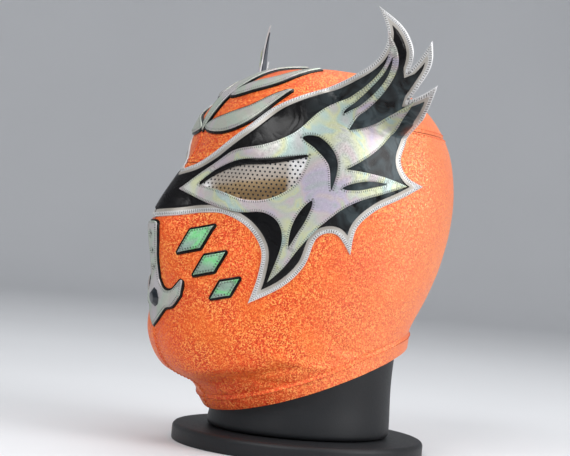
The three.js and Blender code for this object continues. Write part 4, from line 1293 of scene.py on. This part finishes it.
class MASK_OT_fabric_panels(bpy.types.Operator):
    """Sews the two crown halves, the two side halves and the tongue"""
    bl_idname = "mask.fabric_panels"
    bl_label = "Fabric panels"

    def execute(self, context):
        pitch = context.scene.mask_fabric.stitch_pitch / MM
        crown = grid_piece("crown_fabric_left", *GRID["crown"], crown_place, FINISH["fabric"],
                           FABRIC)
        eye = FlatShape([inset_ring(ring_of(EYE_RUNS), -EYE_SEAM)])
        side = grid_piece("side_fabric_left", *GRID["side"], side_place, FINISH["fabric"], FABRIC,
                          eye)
        crowns = settle_pair(crown, "fabric", "crown_panel")
        sides = settle_pair(side, "fabric", "side_panel")
        start = STITCH_MARGIN["face"]
        rows = [stitches_round(seam_row, offset, pitch, start, np.pi - start)
                for offset in (-TOPSTITCH["crown"], TOPSTITCH["crown"])]
        rows.append(stitches_round(hem_row, TOPSTITCH["hem"], pitch, start,
                                   np.pi - STITCH_MARGIN["opening"]))
        rows += [stitches_down(TOPSTITCH["middle"], pitch, *span) for span in MIDDLE_STITCH_SPANS]
        thread = joined_threads("fabric_thread_left", rows, pitch * TOPSTITCH["share"],
                                FINISH["seam_thread"])
        threads = settle_pair(thread, "fabric")
        tongue = grid_piece("tongue_fabric", *GRID["tongue"], tongue_place, FINISH["fabric"],
                            TONGUE["depth"][1] - TONGUE["depth"][0])
        settle(tongue, "fabric", "tongue")
        return {"FINISHED"}


def cut_out(piece, shape):
    """Takes out the faces of the side fabric that lie in a shape of the side chart."""
    mesh = piece.data
    centres = np.empty(len(mesh.polygons) * 3)
    mesh.polygons.foreach_get("center", centres)
    x, y, z = centres.reshape(-1, 3).T / MM
    phi = np.arctan2(x, -y)
    low = np.clip(z - LEVELS[0], 0, len(LEVELS) - 2).astype(int)
    step = np.clip(phi / TURNS[1], 0, len(TURNS) - 2)
    k = step.astype(int)
    arcs = lerp(ARCS[low, k], ARCS[low, k + 1], step - k) - ARCS[low, EAR_LINE]
    near = np.flatnonzero((z > EYE_AREA["bottom"]) & (z < EYE_AREA["top"])
                          & (arcs < EYE_AREA["behind"]))
    inside = shape.measure(np.stack([arcs[near], z[near]], -1))[0] > 0
    chosen = np.zeros(len(mesh.polygons), bool)
    chosen[near[inside]] = True
    choose(piece)
    bpy.ops.object.mode_set(mode="EDIT")
    bpy.ops.mesh.select_mode(type="FACE")
    bpy.ops.mesh.select_all(action="DESELECT")
    bpy.ops.object.mode_set(mode="OBJECT")
    mesh.polygons.foreach_set("select", chosen)
    bpy.ops.object.mode_set(mode="EDIT")
    bpy.ops.mesh.delete(type="FACE")
    bpy.ops.object.mode_set(mode="OBJECT")


# Display head

def head_depth(phi):
    back = ease_between(TONGUE["from"] - 0.2, TONGUE["from"], np.abs(phi))
    return FABRIC + HEAD_GAP + TONGUE["room"] * back


class MASK_OT_display_head(bpy.types.Operator):
    """Moulds the display head and its neck"""
    bl_idname = "mask.display_head"
    bl_label = "Display head"

    def execute(self, context):
        columns = HEAD_COLUMNS
        phi = np.linspace(-np.pi, np.pi, columns, endpoint=False)
        rings = []
        for v in np.linspace(HEAD_ROWS["first"], HEAD_ROWS["last"], HEAD_ROWS["count"]):
            rings.append(raised(fabric_surface, phi, np.full(columns, v), -head_depth(phi),
                                FABRIC_STEP))
        end = skin(phi, np.full(columns, float(HEM)))[1] + NECK_ROWS["below"]
        foot = NECK["foot"] + NECK["round"]
        for share in np.linspace(0, 1, NECK_ROWS["count"]):
            waist = NECK_ROWS["waist"] * math.sin(math.pi * share) ** 2
            rings.append(neck_ring(phi, lerp(end, foot, share), waist))
        for turn in np.linspace(0, np.pi / 2, 8)[1:]:
            inwards = NECK["round"] * (1 - math.cos(turn))
            z = foot - NECK["round"] * math.sin(turn)
            rings.append(neck_ring(phi, np.full(columns, z), inwards))
        points = np.vstack([*rings, [[0, 0, CROWN_HEIGHT - head_depth(0.0)]],
                            [[0, 0, NECK["foot"]]]])
        count = len(rings)
        faces = []
        for i in range(columns):
            after = (i + 1) % columns
            faces.append((count * columns, i, after))
            faces.append((count * columns + 1, (count - 1) * columns + after,
                          (count - 1) * columns + i))
            for k in range(count - 1):
                faces.append((k * columns + i, (k + 1) * columns + i, (k + 1) * columns + after,
                              k * columns + after))
        piece = new_mesh("display_head", points, faces, FINISH["stand"])
        settle(piece, "stand_black", "head_form")
        return {"FINISHED"}


def neck_ring(phi, z, inwards):
    radius = 1 / np.hypot(np.sin(phi) / NECK["half_width"], np.cos(phi) / NECK["half_depth"])
    return polar(radius - inwards, phi, z)


class MASK_OT_base_plate(bpy.types.Operator):
    """Turns the oval plate under the neck"""
    bl_idname = "mask.base_plate"
    bl_label = "Base plate"

    def execute(self, context):
        height = PLATE["height"] * MM
        bpy.ops.object.select_all(action="DESELECT")
        bpy.ops.mesh.primitive_cylinder_add(vertices=144, radius=PLATE["half_width"] * MM,
                                            depth=height, location=(0, 0, height / 2))
        piece = bpy.context.object
        piece.name = "display_plate"
        piece.scale.y = PLATE["half_depth"] / PLATE["half_width"]
        bpy.ops.object.transform_apply(location=True, rotation=True, scale=True)
        bevel_edges(piece, height, PLATE["edge"] * MM, context.scene.mask_stand.edge_segments)
        bevel_edges(piece, 0.0, PLATE["foot_edge"] * MM, 3)
        piece.data.materials.append(FINISH["stand"])
        choose(piece)
        bpy.ops.object.shade_smooth_by_angle(angle=math.radians(40))
        settle(piece, "stand_black", "base_plate")
        return {"FINISHED"}


def bevel_edges(piece, height, width, segments):
    """Rounds the edges that lie at one height."""
    choose(piece)
    bpy.ops.object.mode_set(mode="EDIT")
    bpy.ops.mesh.select_mode(type="EDGE")
    bpy.ops.mesh.select_all(action="DESELECT")
    bpy.ops.object.mode_set(mode="OBJECT")
    vertices = piece.data.vertices
    for edge in piece.data.edges:
        edge.select = all(abs(vertices[i].co.z - height) < 1e-5 for i in edge.vertices)
    bpy.ops.object.mode_set(mode="EDIT")
    bpy.ops.mesh.bevel(offset=width, segments=segments, profile=0.5, affect="EDGES")
    bpy.ops.object.mode_set(mode="OBJECT")


# Sheets sewn over the fabric

def black_edge(name, rings, chart, spacing, foot=BASE_SHEET[0]):
    """The black vinyl that shows all round a smaller sheet."""
    return sheet_piece(name, FlatShape(rings), chart, foot,
                       rounded_edge(BASE_ROLL, BASE_SHEET[1], 0.7), FINISH["vinyl"], spacing,
                       NARROW_RIMS)


def edge_stitches(name, shape, rings, chart, settings, material="thread"):
    """A zigzag of thread over the edge of a sheet; settings give its measures."""
    starts = []
    ends = []
    for ring in rings:
        places, along = stitch_line(shape, ring, settings["inset"], settings["pitch"])
        across = np.stack([-along[:, 1], along[:, 0]], -1)
        lean = settings["lean"] * (-1) ** np.arange(len(places))[:, None] if settings["zigzag"] \
            else settings["lean"]
        half = (across * settings["across"] + along * lean) / 2
        if chart is side_chart:
            shown = places[:, 0] > middle_line(places[:, 1]) + 0.9
            places = places[shown]
            half = half[shown]
        starts.append(places - half)
        ends.append(places + half)
    surface = lambda at, height: chart(at, settings["depth"] + height)
    return thread_piece(name, np.vstack(starts), np.vstack(ends), surface, settings["thickness"],
                        FINISH[material])


class MASK_OT_eye_panels(bpy.types.Operator):
    """Cuts and sews the stacked sheets round the eyes, with the fins that stand up from them"""
    bl_idname = "mask.eye_panels"
    bl_label = "Eye panels"

    def execute(self, context):
        trim = context.scene.mask_trim
        pitch = trim.stitch_pitch / MM
        panel = ring_of(PANEL_RUNS)
        eye = ring_of(EYE_RUNS)
        seam = inset_ring(eye, -EYE_SEAM)
        flame = ring_of(FLAME_RUNS)
        whole = FlatShape([panel], [seam])
        edge_shape = FlatShape([clipped_at_middle(panel)], [seam], whole=whole)
        edge = sheet_piece("eye_border_left", edge_shape, side_chart, BASE_SHEET[0],
                           rounded_edge(BASE_ROLL, BASE_SHEET[1], 0.8), FINISH["border"])
        settle_pair(edge, "silver_edge", "eye_edge")
        thread = edge_stitches("eye_border_thread_left", whole, [panel], side_chart,
                               {**BORDER_STITCH, "pitch": pitch})
        settle_pair(thread, "silver_edge")
        field = inset_ring(panel, BORDER)
        field_shape = FlatShape([clipped_at_middle(field)], [seam],
                                whole=FlatShape([field], [seam]))
        vinyl = sheet_piece("eye_field_left", field_shape, side_chart, MIDDLE_SHEET[0],
                            rounded_edge(MIDDLE_ROLL, MIDDLE_SHEET[1], 1.1), FINISH["vinyl"])
        settle_pair(vinyl, "black_vinyl", "eye_vinyl")
        cuts = [leaf_ring(leaf) for leaf in FLAME_CUTS]
        flame_shape = FlatShape([flame], [eye, *cuts])
        holo = sheet_piece("flame_sheet_left", flame_shape, side_chart, TOP_SHEET[0],
                           rounded_edge(TOP_ROLL, TOP_SHEET[1], 0.7), FINISH["holo"])
        settle_pair(holo, "holo_silver", "eye_flame")
        flame_thread = edge_stitches("flame_thread_left", flame_shape, [flame], side_chart,
                                     {**FLAME_STITCH, "pitch": pitch}, "fine_thread")
        settle_pair(flame_thread, "holo_silver")
        foil = inset_ring(seam, 2 * GAP)
        holes = perforations(foil, trim.hole_pitch / MM)
        lens = sheet_piece("eye_foil_left", FlatShape([foil], (), holes, trim.hole_size / MM / 2),
                           side_chart, MIDDLE_SHEET[0], rounded_edge(*FOIL_ROLL),
                           FINISH["mesh"], spacing=1.6, rims=(0.5,))
        settle_pair(lens, "eye_mesh", "eye_mesh")
        # A dark sheet behind the perforated foil: painted shade seen through its holes.
        shade = sheet_piece("eye_shade_left", FlatShape([inset_ring(foil, GAP)]), side_chart,
                            PAINTED_SHADE_SHEET[0], rounded_edge(PAINTED_SHADE_SHEET[1], PAINTED_SHADE_SHEET[1], 1),
                            FINISH["lining"], rims=(0.5,))
        settle_pair(shade, "eye_mesh")
        piping = sheet_piece("eye_lid_left", FlatShape([lid_ring()]), side_chart, LID["foot"],
                             rounded_edge(*LID["roll"]), FINISH["vinyl"], 1.2, (0.3, 0.7))
        settle_pair(piping, "black_vinyl")
        lining = clipped_above(inset_ring(panel, LINING_MARGIN), LINING_FROM)
        lining = evenly(lining, OUTLINE_STEP, closed=True)
        inner = sheet_piece("fin_inside_left", FlatShape([lining]), side_chart, LINING_SHEET[0],
                            rounded_edge(LINING_SHEET[1], LINING_SHEET[1], 1), FINISH["lining"])
        settle_pair(inner, "black_vinyl", "fin_lining")
        return {"FINISHED"}


def perforations(ring, pitch):
    """Staggered holes that keep clear of the edge."""
    low = ring.min(0)
    high = ring.max(0)
    rows = np.arange(low[1], high[1], pitch * 0.8)
    centres = np.array([(x + (k % 2) * pitch / 2, y) for k, y in enumerate(rows)
                        for x in np.arange(low[0], high[0], pitch)])
    return centres[distance_inside(centres, ring)[0] > 1.5]


def lid_ring():
    """The black upper lid: a band inside the eye's upper edge, pointed at both ends."""
    upper = evenly(smooth_run([*EYE_RUNS[0], EYE_RUNS[1][0]]), FINE_STEP)
    share = np.linspace(0, 1, len(upper))
    along = np.gradient(upper, axis=0)
    along /= np.linalg.norm(along, axis=1, keepdims=True)
    down = np.stack([along[:, 1], -along[:, 0]], -1)
    first, length = LID["wave"]
    width = LID["width"] * np.sin(np.pi * np.clip(share * length + first, 0, 1)) ** 0.7
    outer = upper - down * LID["over"]
    inner = upper + down * width[:, None]
    return np.vstack([outer, inner[::-1]])


def clipped_above(ring, level):
    """The part of a ring that lies above a level."""
    kept = []
    for a, b in zip(ring, np.roll(ring, -1, axis=0)):
        if a[1] >= level:
            kept.append(a)
        if (a[1] >= level) != (b[1] >= level):
            kept.append(lerp(a, b, (level - a[1]) / (b[1] - a[1])))
    return np.array(kept)


def leaf_ring(leaf, margin=0.0):
    """A leaf pointed at both ends round a curved spine."""
    line = smooth_run(leaf["spine"], 14)
    t = np.linspace(0, 1, len(line))
    along = np.gradient(line, axis=0)
    along /= np.linalg.norm(along, axis=1, keepdims=True)
    side = np.stack([along[:, 1], -along[:, 0]], -1)
    wide = np.maximum(np.sin(np.pi * t ** 0.8), 0) * leaf["half_width"]
    right = line + side * wide[:, None]
    left = line - side * wide[:, None]
    ring = evenly(np.vstack([right[:-1], left[:0:-1]]), FINE_STEP, closed=True)
    return inset_ring(ring, -margin) if margin else ring


class MASK_OT_crest(bpy.types.Operator):
    """Cuts and sews the crest of five leaves on the forehead"""
    bl_idname = "mask.crest"
    bl_label = "Crest"

    def execute(self, context):
        pitch = context.scene.mask_trim.stitch_pitch / MM
        backs = []
        for name, leaf in CREST_LEAVES.items():
            ring = leaf_ring(leaf)
            wide = leaf_ring(leaf, TRIM)
            backs.append(wide)
            shape = FlatShape([ring])
            title = f"crest_{name}_left" if name != "spear" else "crest_spear_holo"
            piece = sheet_piece(title, shape, crest_chart, MIDDLE_SHEET[0],
                                rounded_edge(MIDDLE_ROLL, MIDDLE_SHEET[1], 0.7), FINISH["crest"],
                                1.7, NARROW_RIMS)
            thread = edge_stitches(title.replace("crest", "crest_thread"), shape, [ring],
                                   crest_chart, {**CREST_STITCH, "pitch": pitch}, "fine_thread")
            if name == "spear":
                settle(piece, "holo_silver", "crest_spear")
                settle(thread, "holo_silver")
            else:
                backs.append(mirrored_ring(wide))
                settle_pair(piece, "holo_silver", f"crest_leaf_{name}")
                settle_pair(thread, "holo_silver")
        back = black_edge("crest_black_edge", backs, crest_chart, 1.9,
                          BASE_SHEET[0] - CREST["lift"])
        settle(back, "black_vinyl", "crest_backing")
        return {"FINISHED"}


class MASK_OT_nose_guard(bpy.types.Operator):
    """Cuts and sews the nose guard and sets its cabochon"""
    bl_idname = "mask.nose_guard"
    bl_label = "Nose guard"

    def execute(self, context):
        right = np.vstack([evenly(smooth_run([*run, after[0]]), FINE_STEP)[:-1]
                           for run, after in zip(GUARD_RUNS, GUARD_RUNS[1:] + [[GUARD_FOOT]])])
        right = right[right[:, 0] > 0.4]
        ring = np.vstack([[GUARD_RUNS[0][0]], right, [GUARD_FOOT], mirrored_ring(right)[::-1]])
        holes = [(0, level) for level in GUARD_HOLES["levels"]]
        shape = FlatShape([ring], (), holes, GUARD_HOLES["radius"])
        guard = sheet_piece("guard_silver", shape, front_chart, MIDDLE_SHEET[0],
                            rounded_edge(MIDDLE_ROLL, MIDDLE_SHEET[1], 0.8), FINISH["silver"],
                            1.5, NARROW_RIMS)
        settle(guard, "silver_edge", "nose_guard")
        back = black_edge("guard_black_edge", [inset_ring(ring, -TRIM)], front_chart, 1.7)
        settle(back, "black_vinyl", "nose_backing")
        pitch = context.scene.mask_trim.stitch_pitch / MM
        thread = edge_stitches("guard_thread", FlatShape([ring]), [ring], front_chart,
                               {**GUARD_STITCH, "pitch": pitch}, "fine_thread")
        settle(thread, "silver_edge")
        bpy.ops.object.select_all(action="DESELECT")
        bpy.ops.mesh.primitive_cone_add(vertices=STONE["sides"], radius1=STONE["radius"] * MM,
                                        radius2=STONE["radius"] * STONE["table"] * MM,
                                        depth=STONE["rise"] * MM,
                                        location=(0, 0, STONE["rise"] * MM / 2))
        stone = context.object
        stone.name = "guard_stone"
        stone.data.name = "guard_stone"
        bpy.ops.object.transform_apply(location=True, rotation=True, scale=True)
        bpy.ops.object.mode_set(mode="EDIT")
        bpy.ops.mesh.select_all(action="SELECT")
        bpy.ops.mesh.bevel(offset=STONE["bevel"] * MM, segments=2, affect="EDGES")
        bpy.ops.object.mode_set(mode="OBJECT")
        stone.data.materials.append(FINISH["stone"])
        stone.data.transform(standing_at(front_chart, (0, STONE["height"]),
                                         MIDDLE_SHEET[1] - STONE["sunk"]))
        bpy.ops.object.shade_smooth_by_angle(angle=math.radians(15))
        settle(stone, "black_vinyl", "nose_cabochon")
        return {"FINISHED"}


def standing_at(chart, centre, depth):
    """The matrix that stands a piece made at the origin on a sheet, along its normal."""
    at = np.array([centre], float)
    foot = chart(at, np.array([depth]))[0]
    axis = Vector(chart(at, np.array([depth + 1.0]))[0] - foot).normalized()
    side = axis.cross(Vector((0, 0, 1))).normalized()
    turn = Matrix((side, axis.cross(side), axis)).transposed().to_4x4()
    return Matrix.Translation(Vector(foot * MM)) @ turn


class MASK_OT_cheek_lozenges(bpy.types.Operator):
    """Cuts and sews the three lozenges on each cheek"""
    bl_idname = "mask.cheek_lozenges"
    bl_label = "Cheek lozenges"

    def execute(self, context):
        for k in range(LOZENGE["count"]):
            scale = LOZENGE["shrink"] ** k
            centre = np.array(LOZENGE["first"], float) + k * np.array(LOZENGE["step"])
            along = np.array([-LOZENGE["step"][1], LOZENGE["step"][0]], float)
            along /= np.linalg.norm(along)
            across = np.array([along[1], -along[0]])
            long = along * LOZENGE["long"] * scale
            short = across * LOZENGE["short"] * scale
            corners = [centre + long, centre + short, centre - long, centre - short]
            ring = straight_ring(corners, FINE_STEP)
            shape = FlatShape([ring])
            wide = offset_corners(corners, TRIM)
            green = sheet_piece(f"lozenge_{k + 1}_left", shape, front_chart, MIDDLE_SHEET[0],
                                rounded_edge(MIDDLE_ROLL, MIDDLE_SHEET[1], 0.7), FINISH["green"],
                                1.6, NARROW_RIMS)
            settle_pair(green, "holo_green", f"cheek_lozenge_{k + 1}")
            black = black_edge(f"lozenge_edge_{k + 1}_left", [wide], front_chart, 1.6)
            settle_pair(black, "black_vinyl", f"cheek_backing_{k + 1}")
            thread = edge_stitches(f"lozenge_thread_{k + 1}_left", shape, [ring], front_chart,
                                   LOZENGE_STITCH, "dark_thread")
            settle_pair(thread, "holo_green")
        return {"FINISHED"}


def offset_corners(corners, distance):
    """A ring of straight sides, moved outwards, with its corners cut a little round."""
    ring = turned_left(np.array(corners, float))
    moved = []
    for before, corner, after in zip(np.roll(ring, 1, axis=0), ring, np.roll(ring, -1, axis=0)):
        first = (corner - before) / np.linalg.norm(corner - before)
        second = (after - corner) / np.linalg.norm(after - corner)
        for t in (0.0, 0.35, 0.65, 1.0):
            along = lerp(first, second, t)
            along /= np.linalg.norm(along)
            moved.append(corner + np.array([along[1], -along[0]]) * distance * 1.15)
    return evenly(np.array(moved), FINE_STEP, closed=True)


# Back closure

class MASK_OT_back_closure(bpy.types.Operator):
    """Sews the plackets beside the back opening and sets the eyelets"""
    bl_idname = "mask.back_closure"
    bl_label = "Back closure"

    def execute(self, context):
        corners = [(PLACKET["from"], PLACKET["bottom"]), (PLACKET["to"], PLACKET["bottom"]),
                   (PLACKET["to"], PLACKET["top"]), (PLACKET["from"], PLACKET["top"])]
        ring = straight_ring(corners, OUTLINE_STEP)
        shape = FlatShape([ring])
        placket = sheet_piece("placket_vinyl_left", shape, back_chart, BASE_SHEET[0],
                              rounded_edge(BASE_ROLL, BASE_SHEET[1], 0.8), FINISH["vinyl"], 2.0,
                              NARROW_RIMS)
        settle_pair(placket, "black_vinyl", "placket")
        thread = edge_stitches("placket_thread_left", shape, [ring], back_chart, PLACKET_STITCH,
                               "fine_thread")
        settle_pair(thread, "black_vinyl")
        middle = (EYELET["bore"] + EYELET["rim"]) / 2 * MM
        half = (EYELET["rim"] - EYELET["bore"]) / 2 * MM
        bpy.ops.object.select_all(action="DESELECT")
        bpy.ops.mesh.primitive_torus_add(major_segments=40, minor_segments=12,
                                         major_radius=middle, minor_radius=half)
        ring = context.object
        bpy.ops.transform.resize(value=(1, 1, EYELET["flatness"]))
        bpy.ops.object.transform_apply(location=True, rotation=True, scale=True)
        bpy.ops.object.shade_smooth()
        ring.data.materials.append(FINISH["metal"])
        for k in range(EYELET["count"]):
            z = lerp(EYELET["first"], EYELET["last"], k / (EYELET["count"] - 1))
            mesh = ring.data.copy()
            mesh.transform(standing_at(back_chart, (EYELET["side"], z),
                                       BASE_SHEET[1] + EYELET["lift"]))
            mesh.name = f"eyelet_ring_{k + 1}_left"
            piece = bpy.data.objects.new(mesh.name, mesh)
            context.scene.collection.objects.link(piece)
            settle_pair(piece, "eyelet_metal", f"eyelet_{k + 1}")
        bpy.data.objects.remove(ring)
        return {"FINISHED"}


# Stage

class MASK_OT_stage(bpy.types.Operator):
    """Sets the pale floor, the soft lights and the camera"""
    bl_idname = "mask.stage"
    bl_label = "Stage"

    def execute(self, context):
        scene = context.scene
        scene.view_settings.view_transform = "Standard"
        material, tree, shader, place = new_material("pale backdrop")
        slow = node(tree, "ShaderNodeTexNoise", {"Vector": place, "Scale": 3.0, "Detail": 2.0})
        colour = tuple(scene.mask_stand.floor_colour)
        shade = ramp(tree, slow.outputs[0], [(0.3, tuple(0.97 * c for c in colour)), (0.7, colour)])
        set_shader(tree, shader, Base_Color=shade, Roughness=0.8, Specular_IOR_Level=0.2)
        bpy.ops.object.select_all(action="DESELECT")
        radius = BACKDROP["radius"]
        bpy.ops.mesh.primitive_circle_add(vertices=BACKDROP["sides"], radius=radius,
                                          fill_type="NGON")
        floor = context.object
        floor.name = "backdrop"
        bpy.ops.object.mode_set(mode="EDIT")
        bpy.ops.mesh.select_mode(type="EDGE")
        bpy.ops.mesh.select_all(action="DESELECT")
        bpy.ops.object.mode_set(mode="OBJECT")
        for edge in floor.data.edges:
            edge.select = True
        bpy.ops.object.mode_set(mode="EDIT")
        quarter = math.pi / 2 / BACKDROP["steps"]
        for k in range(1, BACKDROP["steps"] + 1):
            wider = BACKDROP["radius"] + BACKDROP["curve"] * math.sin(quarter * k)
            rise = BACKDROP["curve"] * (math.cos(quarter * (k - 1)) - math.cos(quarter * k))
            bpy.ops.mesh.extrude_edges_move(TRANSFORM_OT_translate={"value": (0, 0, rise)})
            bpy.ops.transform.resize(value=(wider / radius, wider / radius, 1))
            radius = wider
        bpy.ops.mesh.extrude_edges_move(TRANSFORM_OT_translate={"value": (0, 0, BACKDROP["wall"])})
        bpy.ops.mesh.select_all(action="SELECT")
        bpy.ops.mesh.normals_make_consistent(inside=True)
        bpy.ops.object.mode_set(mode="OBJECT")
        floor.data.materials.append(material)
        bpy.ops.object.shade_smooth()
        set_lights(scene)
        set_camera(scene)
        return {"FINISHED"}


def view_axes():
    azimuth = math.radians(CAMERA["azimuth"])
    right = Vector((math.cos(azimuth), math.sin(azimuth), 0))
    back = Vector((math.sin(azimuth), -math.cos(azimuth), 0))
    return right, back, Vector((0, 0, 1))


def set_camera(scene):
    right, back, up = view_axes()
    roll = math.radians(CAMERA["roll"])
    across = right * math.cos(roll) + up * math.sin(roll)
    upright = up * math.cos(roll) - right * math.sin(roll)
    place = (right * CAMERA["side"] + up * CAMERA["height"] + back * CAMERA["distance"]) * MM
    data = bpy.data.cameras.new("photo camera")
    data.lens = CAMERA["lens"]
    data.sensor_width = CAMERA["sensor"]
    camera = bpy.data.objects.new("photo camera", data)
    facing = Matrix((across, upright, back)).transposed().to_4x4()
    camera.matrix_world = Matrix.Translation(place) @ facing
    scene.collection.objects.link(camera)
    scene.camera = camera


# Lights: how far to the right, up and back towards the camera, width, height and power.
LIGHTS = [
    ("key light", -0.6, 1.1, 1.0, 0.9, 0.7, 13),
    ("side light", 1.2, 0.7, 0.6, 0.8, 1.0, 16),
    ("top light", 0.2, 1.5, -0.2, 1.2, 1.0, 12),
]


def set_lights(scene):
    right, back, up = view_axes()
    for name, side, height, near, width, tall, power in LIGHTS:
        data = bpy.data.lights.new(name, "AREA")
        data.shape = "RECTANGLE"
        data.size = width
        data.size_y = tall
        data.energy = power
        light = bpy.data.objects.new(name, data)
        light.location = right * side + up * height + back * near
        aim = Vector((0, 0, AIM_HEIGHT)) - light.location
        light.rotation_euler = aim.to_track_quat("-Z", "Y").to_euler()
        scene.collection.objects.link(light)
    world = bpy.data.worlds.new("soft sky")
    world.use_nodes = True
    sky = world.node_tree.nodes["Background"]
    sky.inputs["Color"].default_value = SKY["colour"]
    sky.inputs["Strength"].default_value = SKY["strength"]
    scene.world = world


# Panel and running

OPERATORS = [MASK_OT_stage, MASK_OT_display_head, MASK_OT_base_plate, MASK_OT_fabric_panels,
             MASK_OT_eye_panels, MASK_OT_crest, MASK_OT_nose_guard, MASK_OT_cheek_lozenges,
             MASK_OT_back_closure]


class MASK_PT_panel(bpy.types.Panel):
    """Lists the mask's pieces and settings"""
    bl_idname = "MASK_PT_panel"
    bl_label = "Lucha Libre Mask"
    bl_space_type = "VIEW_3D"
    bl_region_type = "UI"
    bl_category = "Mask"

    def draw(self, context):
        for group in SETTINGS:
            settings = getattr(context.scene, group)
            for name in settings.__annotations__:
                self.layout.prop(settings, name)
        for operator in OPERATORS:
            self.layout.operator(operator.bl_idname)


SETTINGS = {"mask_fabric": FabricSettings, "mask_trim": TrimSettings, "mask_stand": StandSettings}


def register():
    for kind in [*SETTINGS.values(), *OPERATORS, MASK_PT_panel]:
        bpy.utils.register_class(kind)
    for name, kind in SETTINGS.items():
        setattr(bpy.types.Scene, name, PointerProperty(type=kind))


def unregister():
    for name in SETTINGS:
        delattr(bpy.types.Scene, name)
    for kind in reversed([*SETTINGS.values(), *OPERATORS, MASK_PT_panel]):
        bpy.utils.unregister_class(kind)


def main():
    register()
    scene = bpy.context.scene
    FINISH.update(make_materials(scene.mask_fabric, scene.mask_trim.stitch_pitch))
    for operator in OPERATORS:
        family, name = operator.bl_idname.split(".")
        getattr(getattr(bpy.ops, family), name)()


if __name__ == "__main__":
    main()
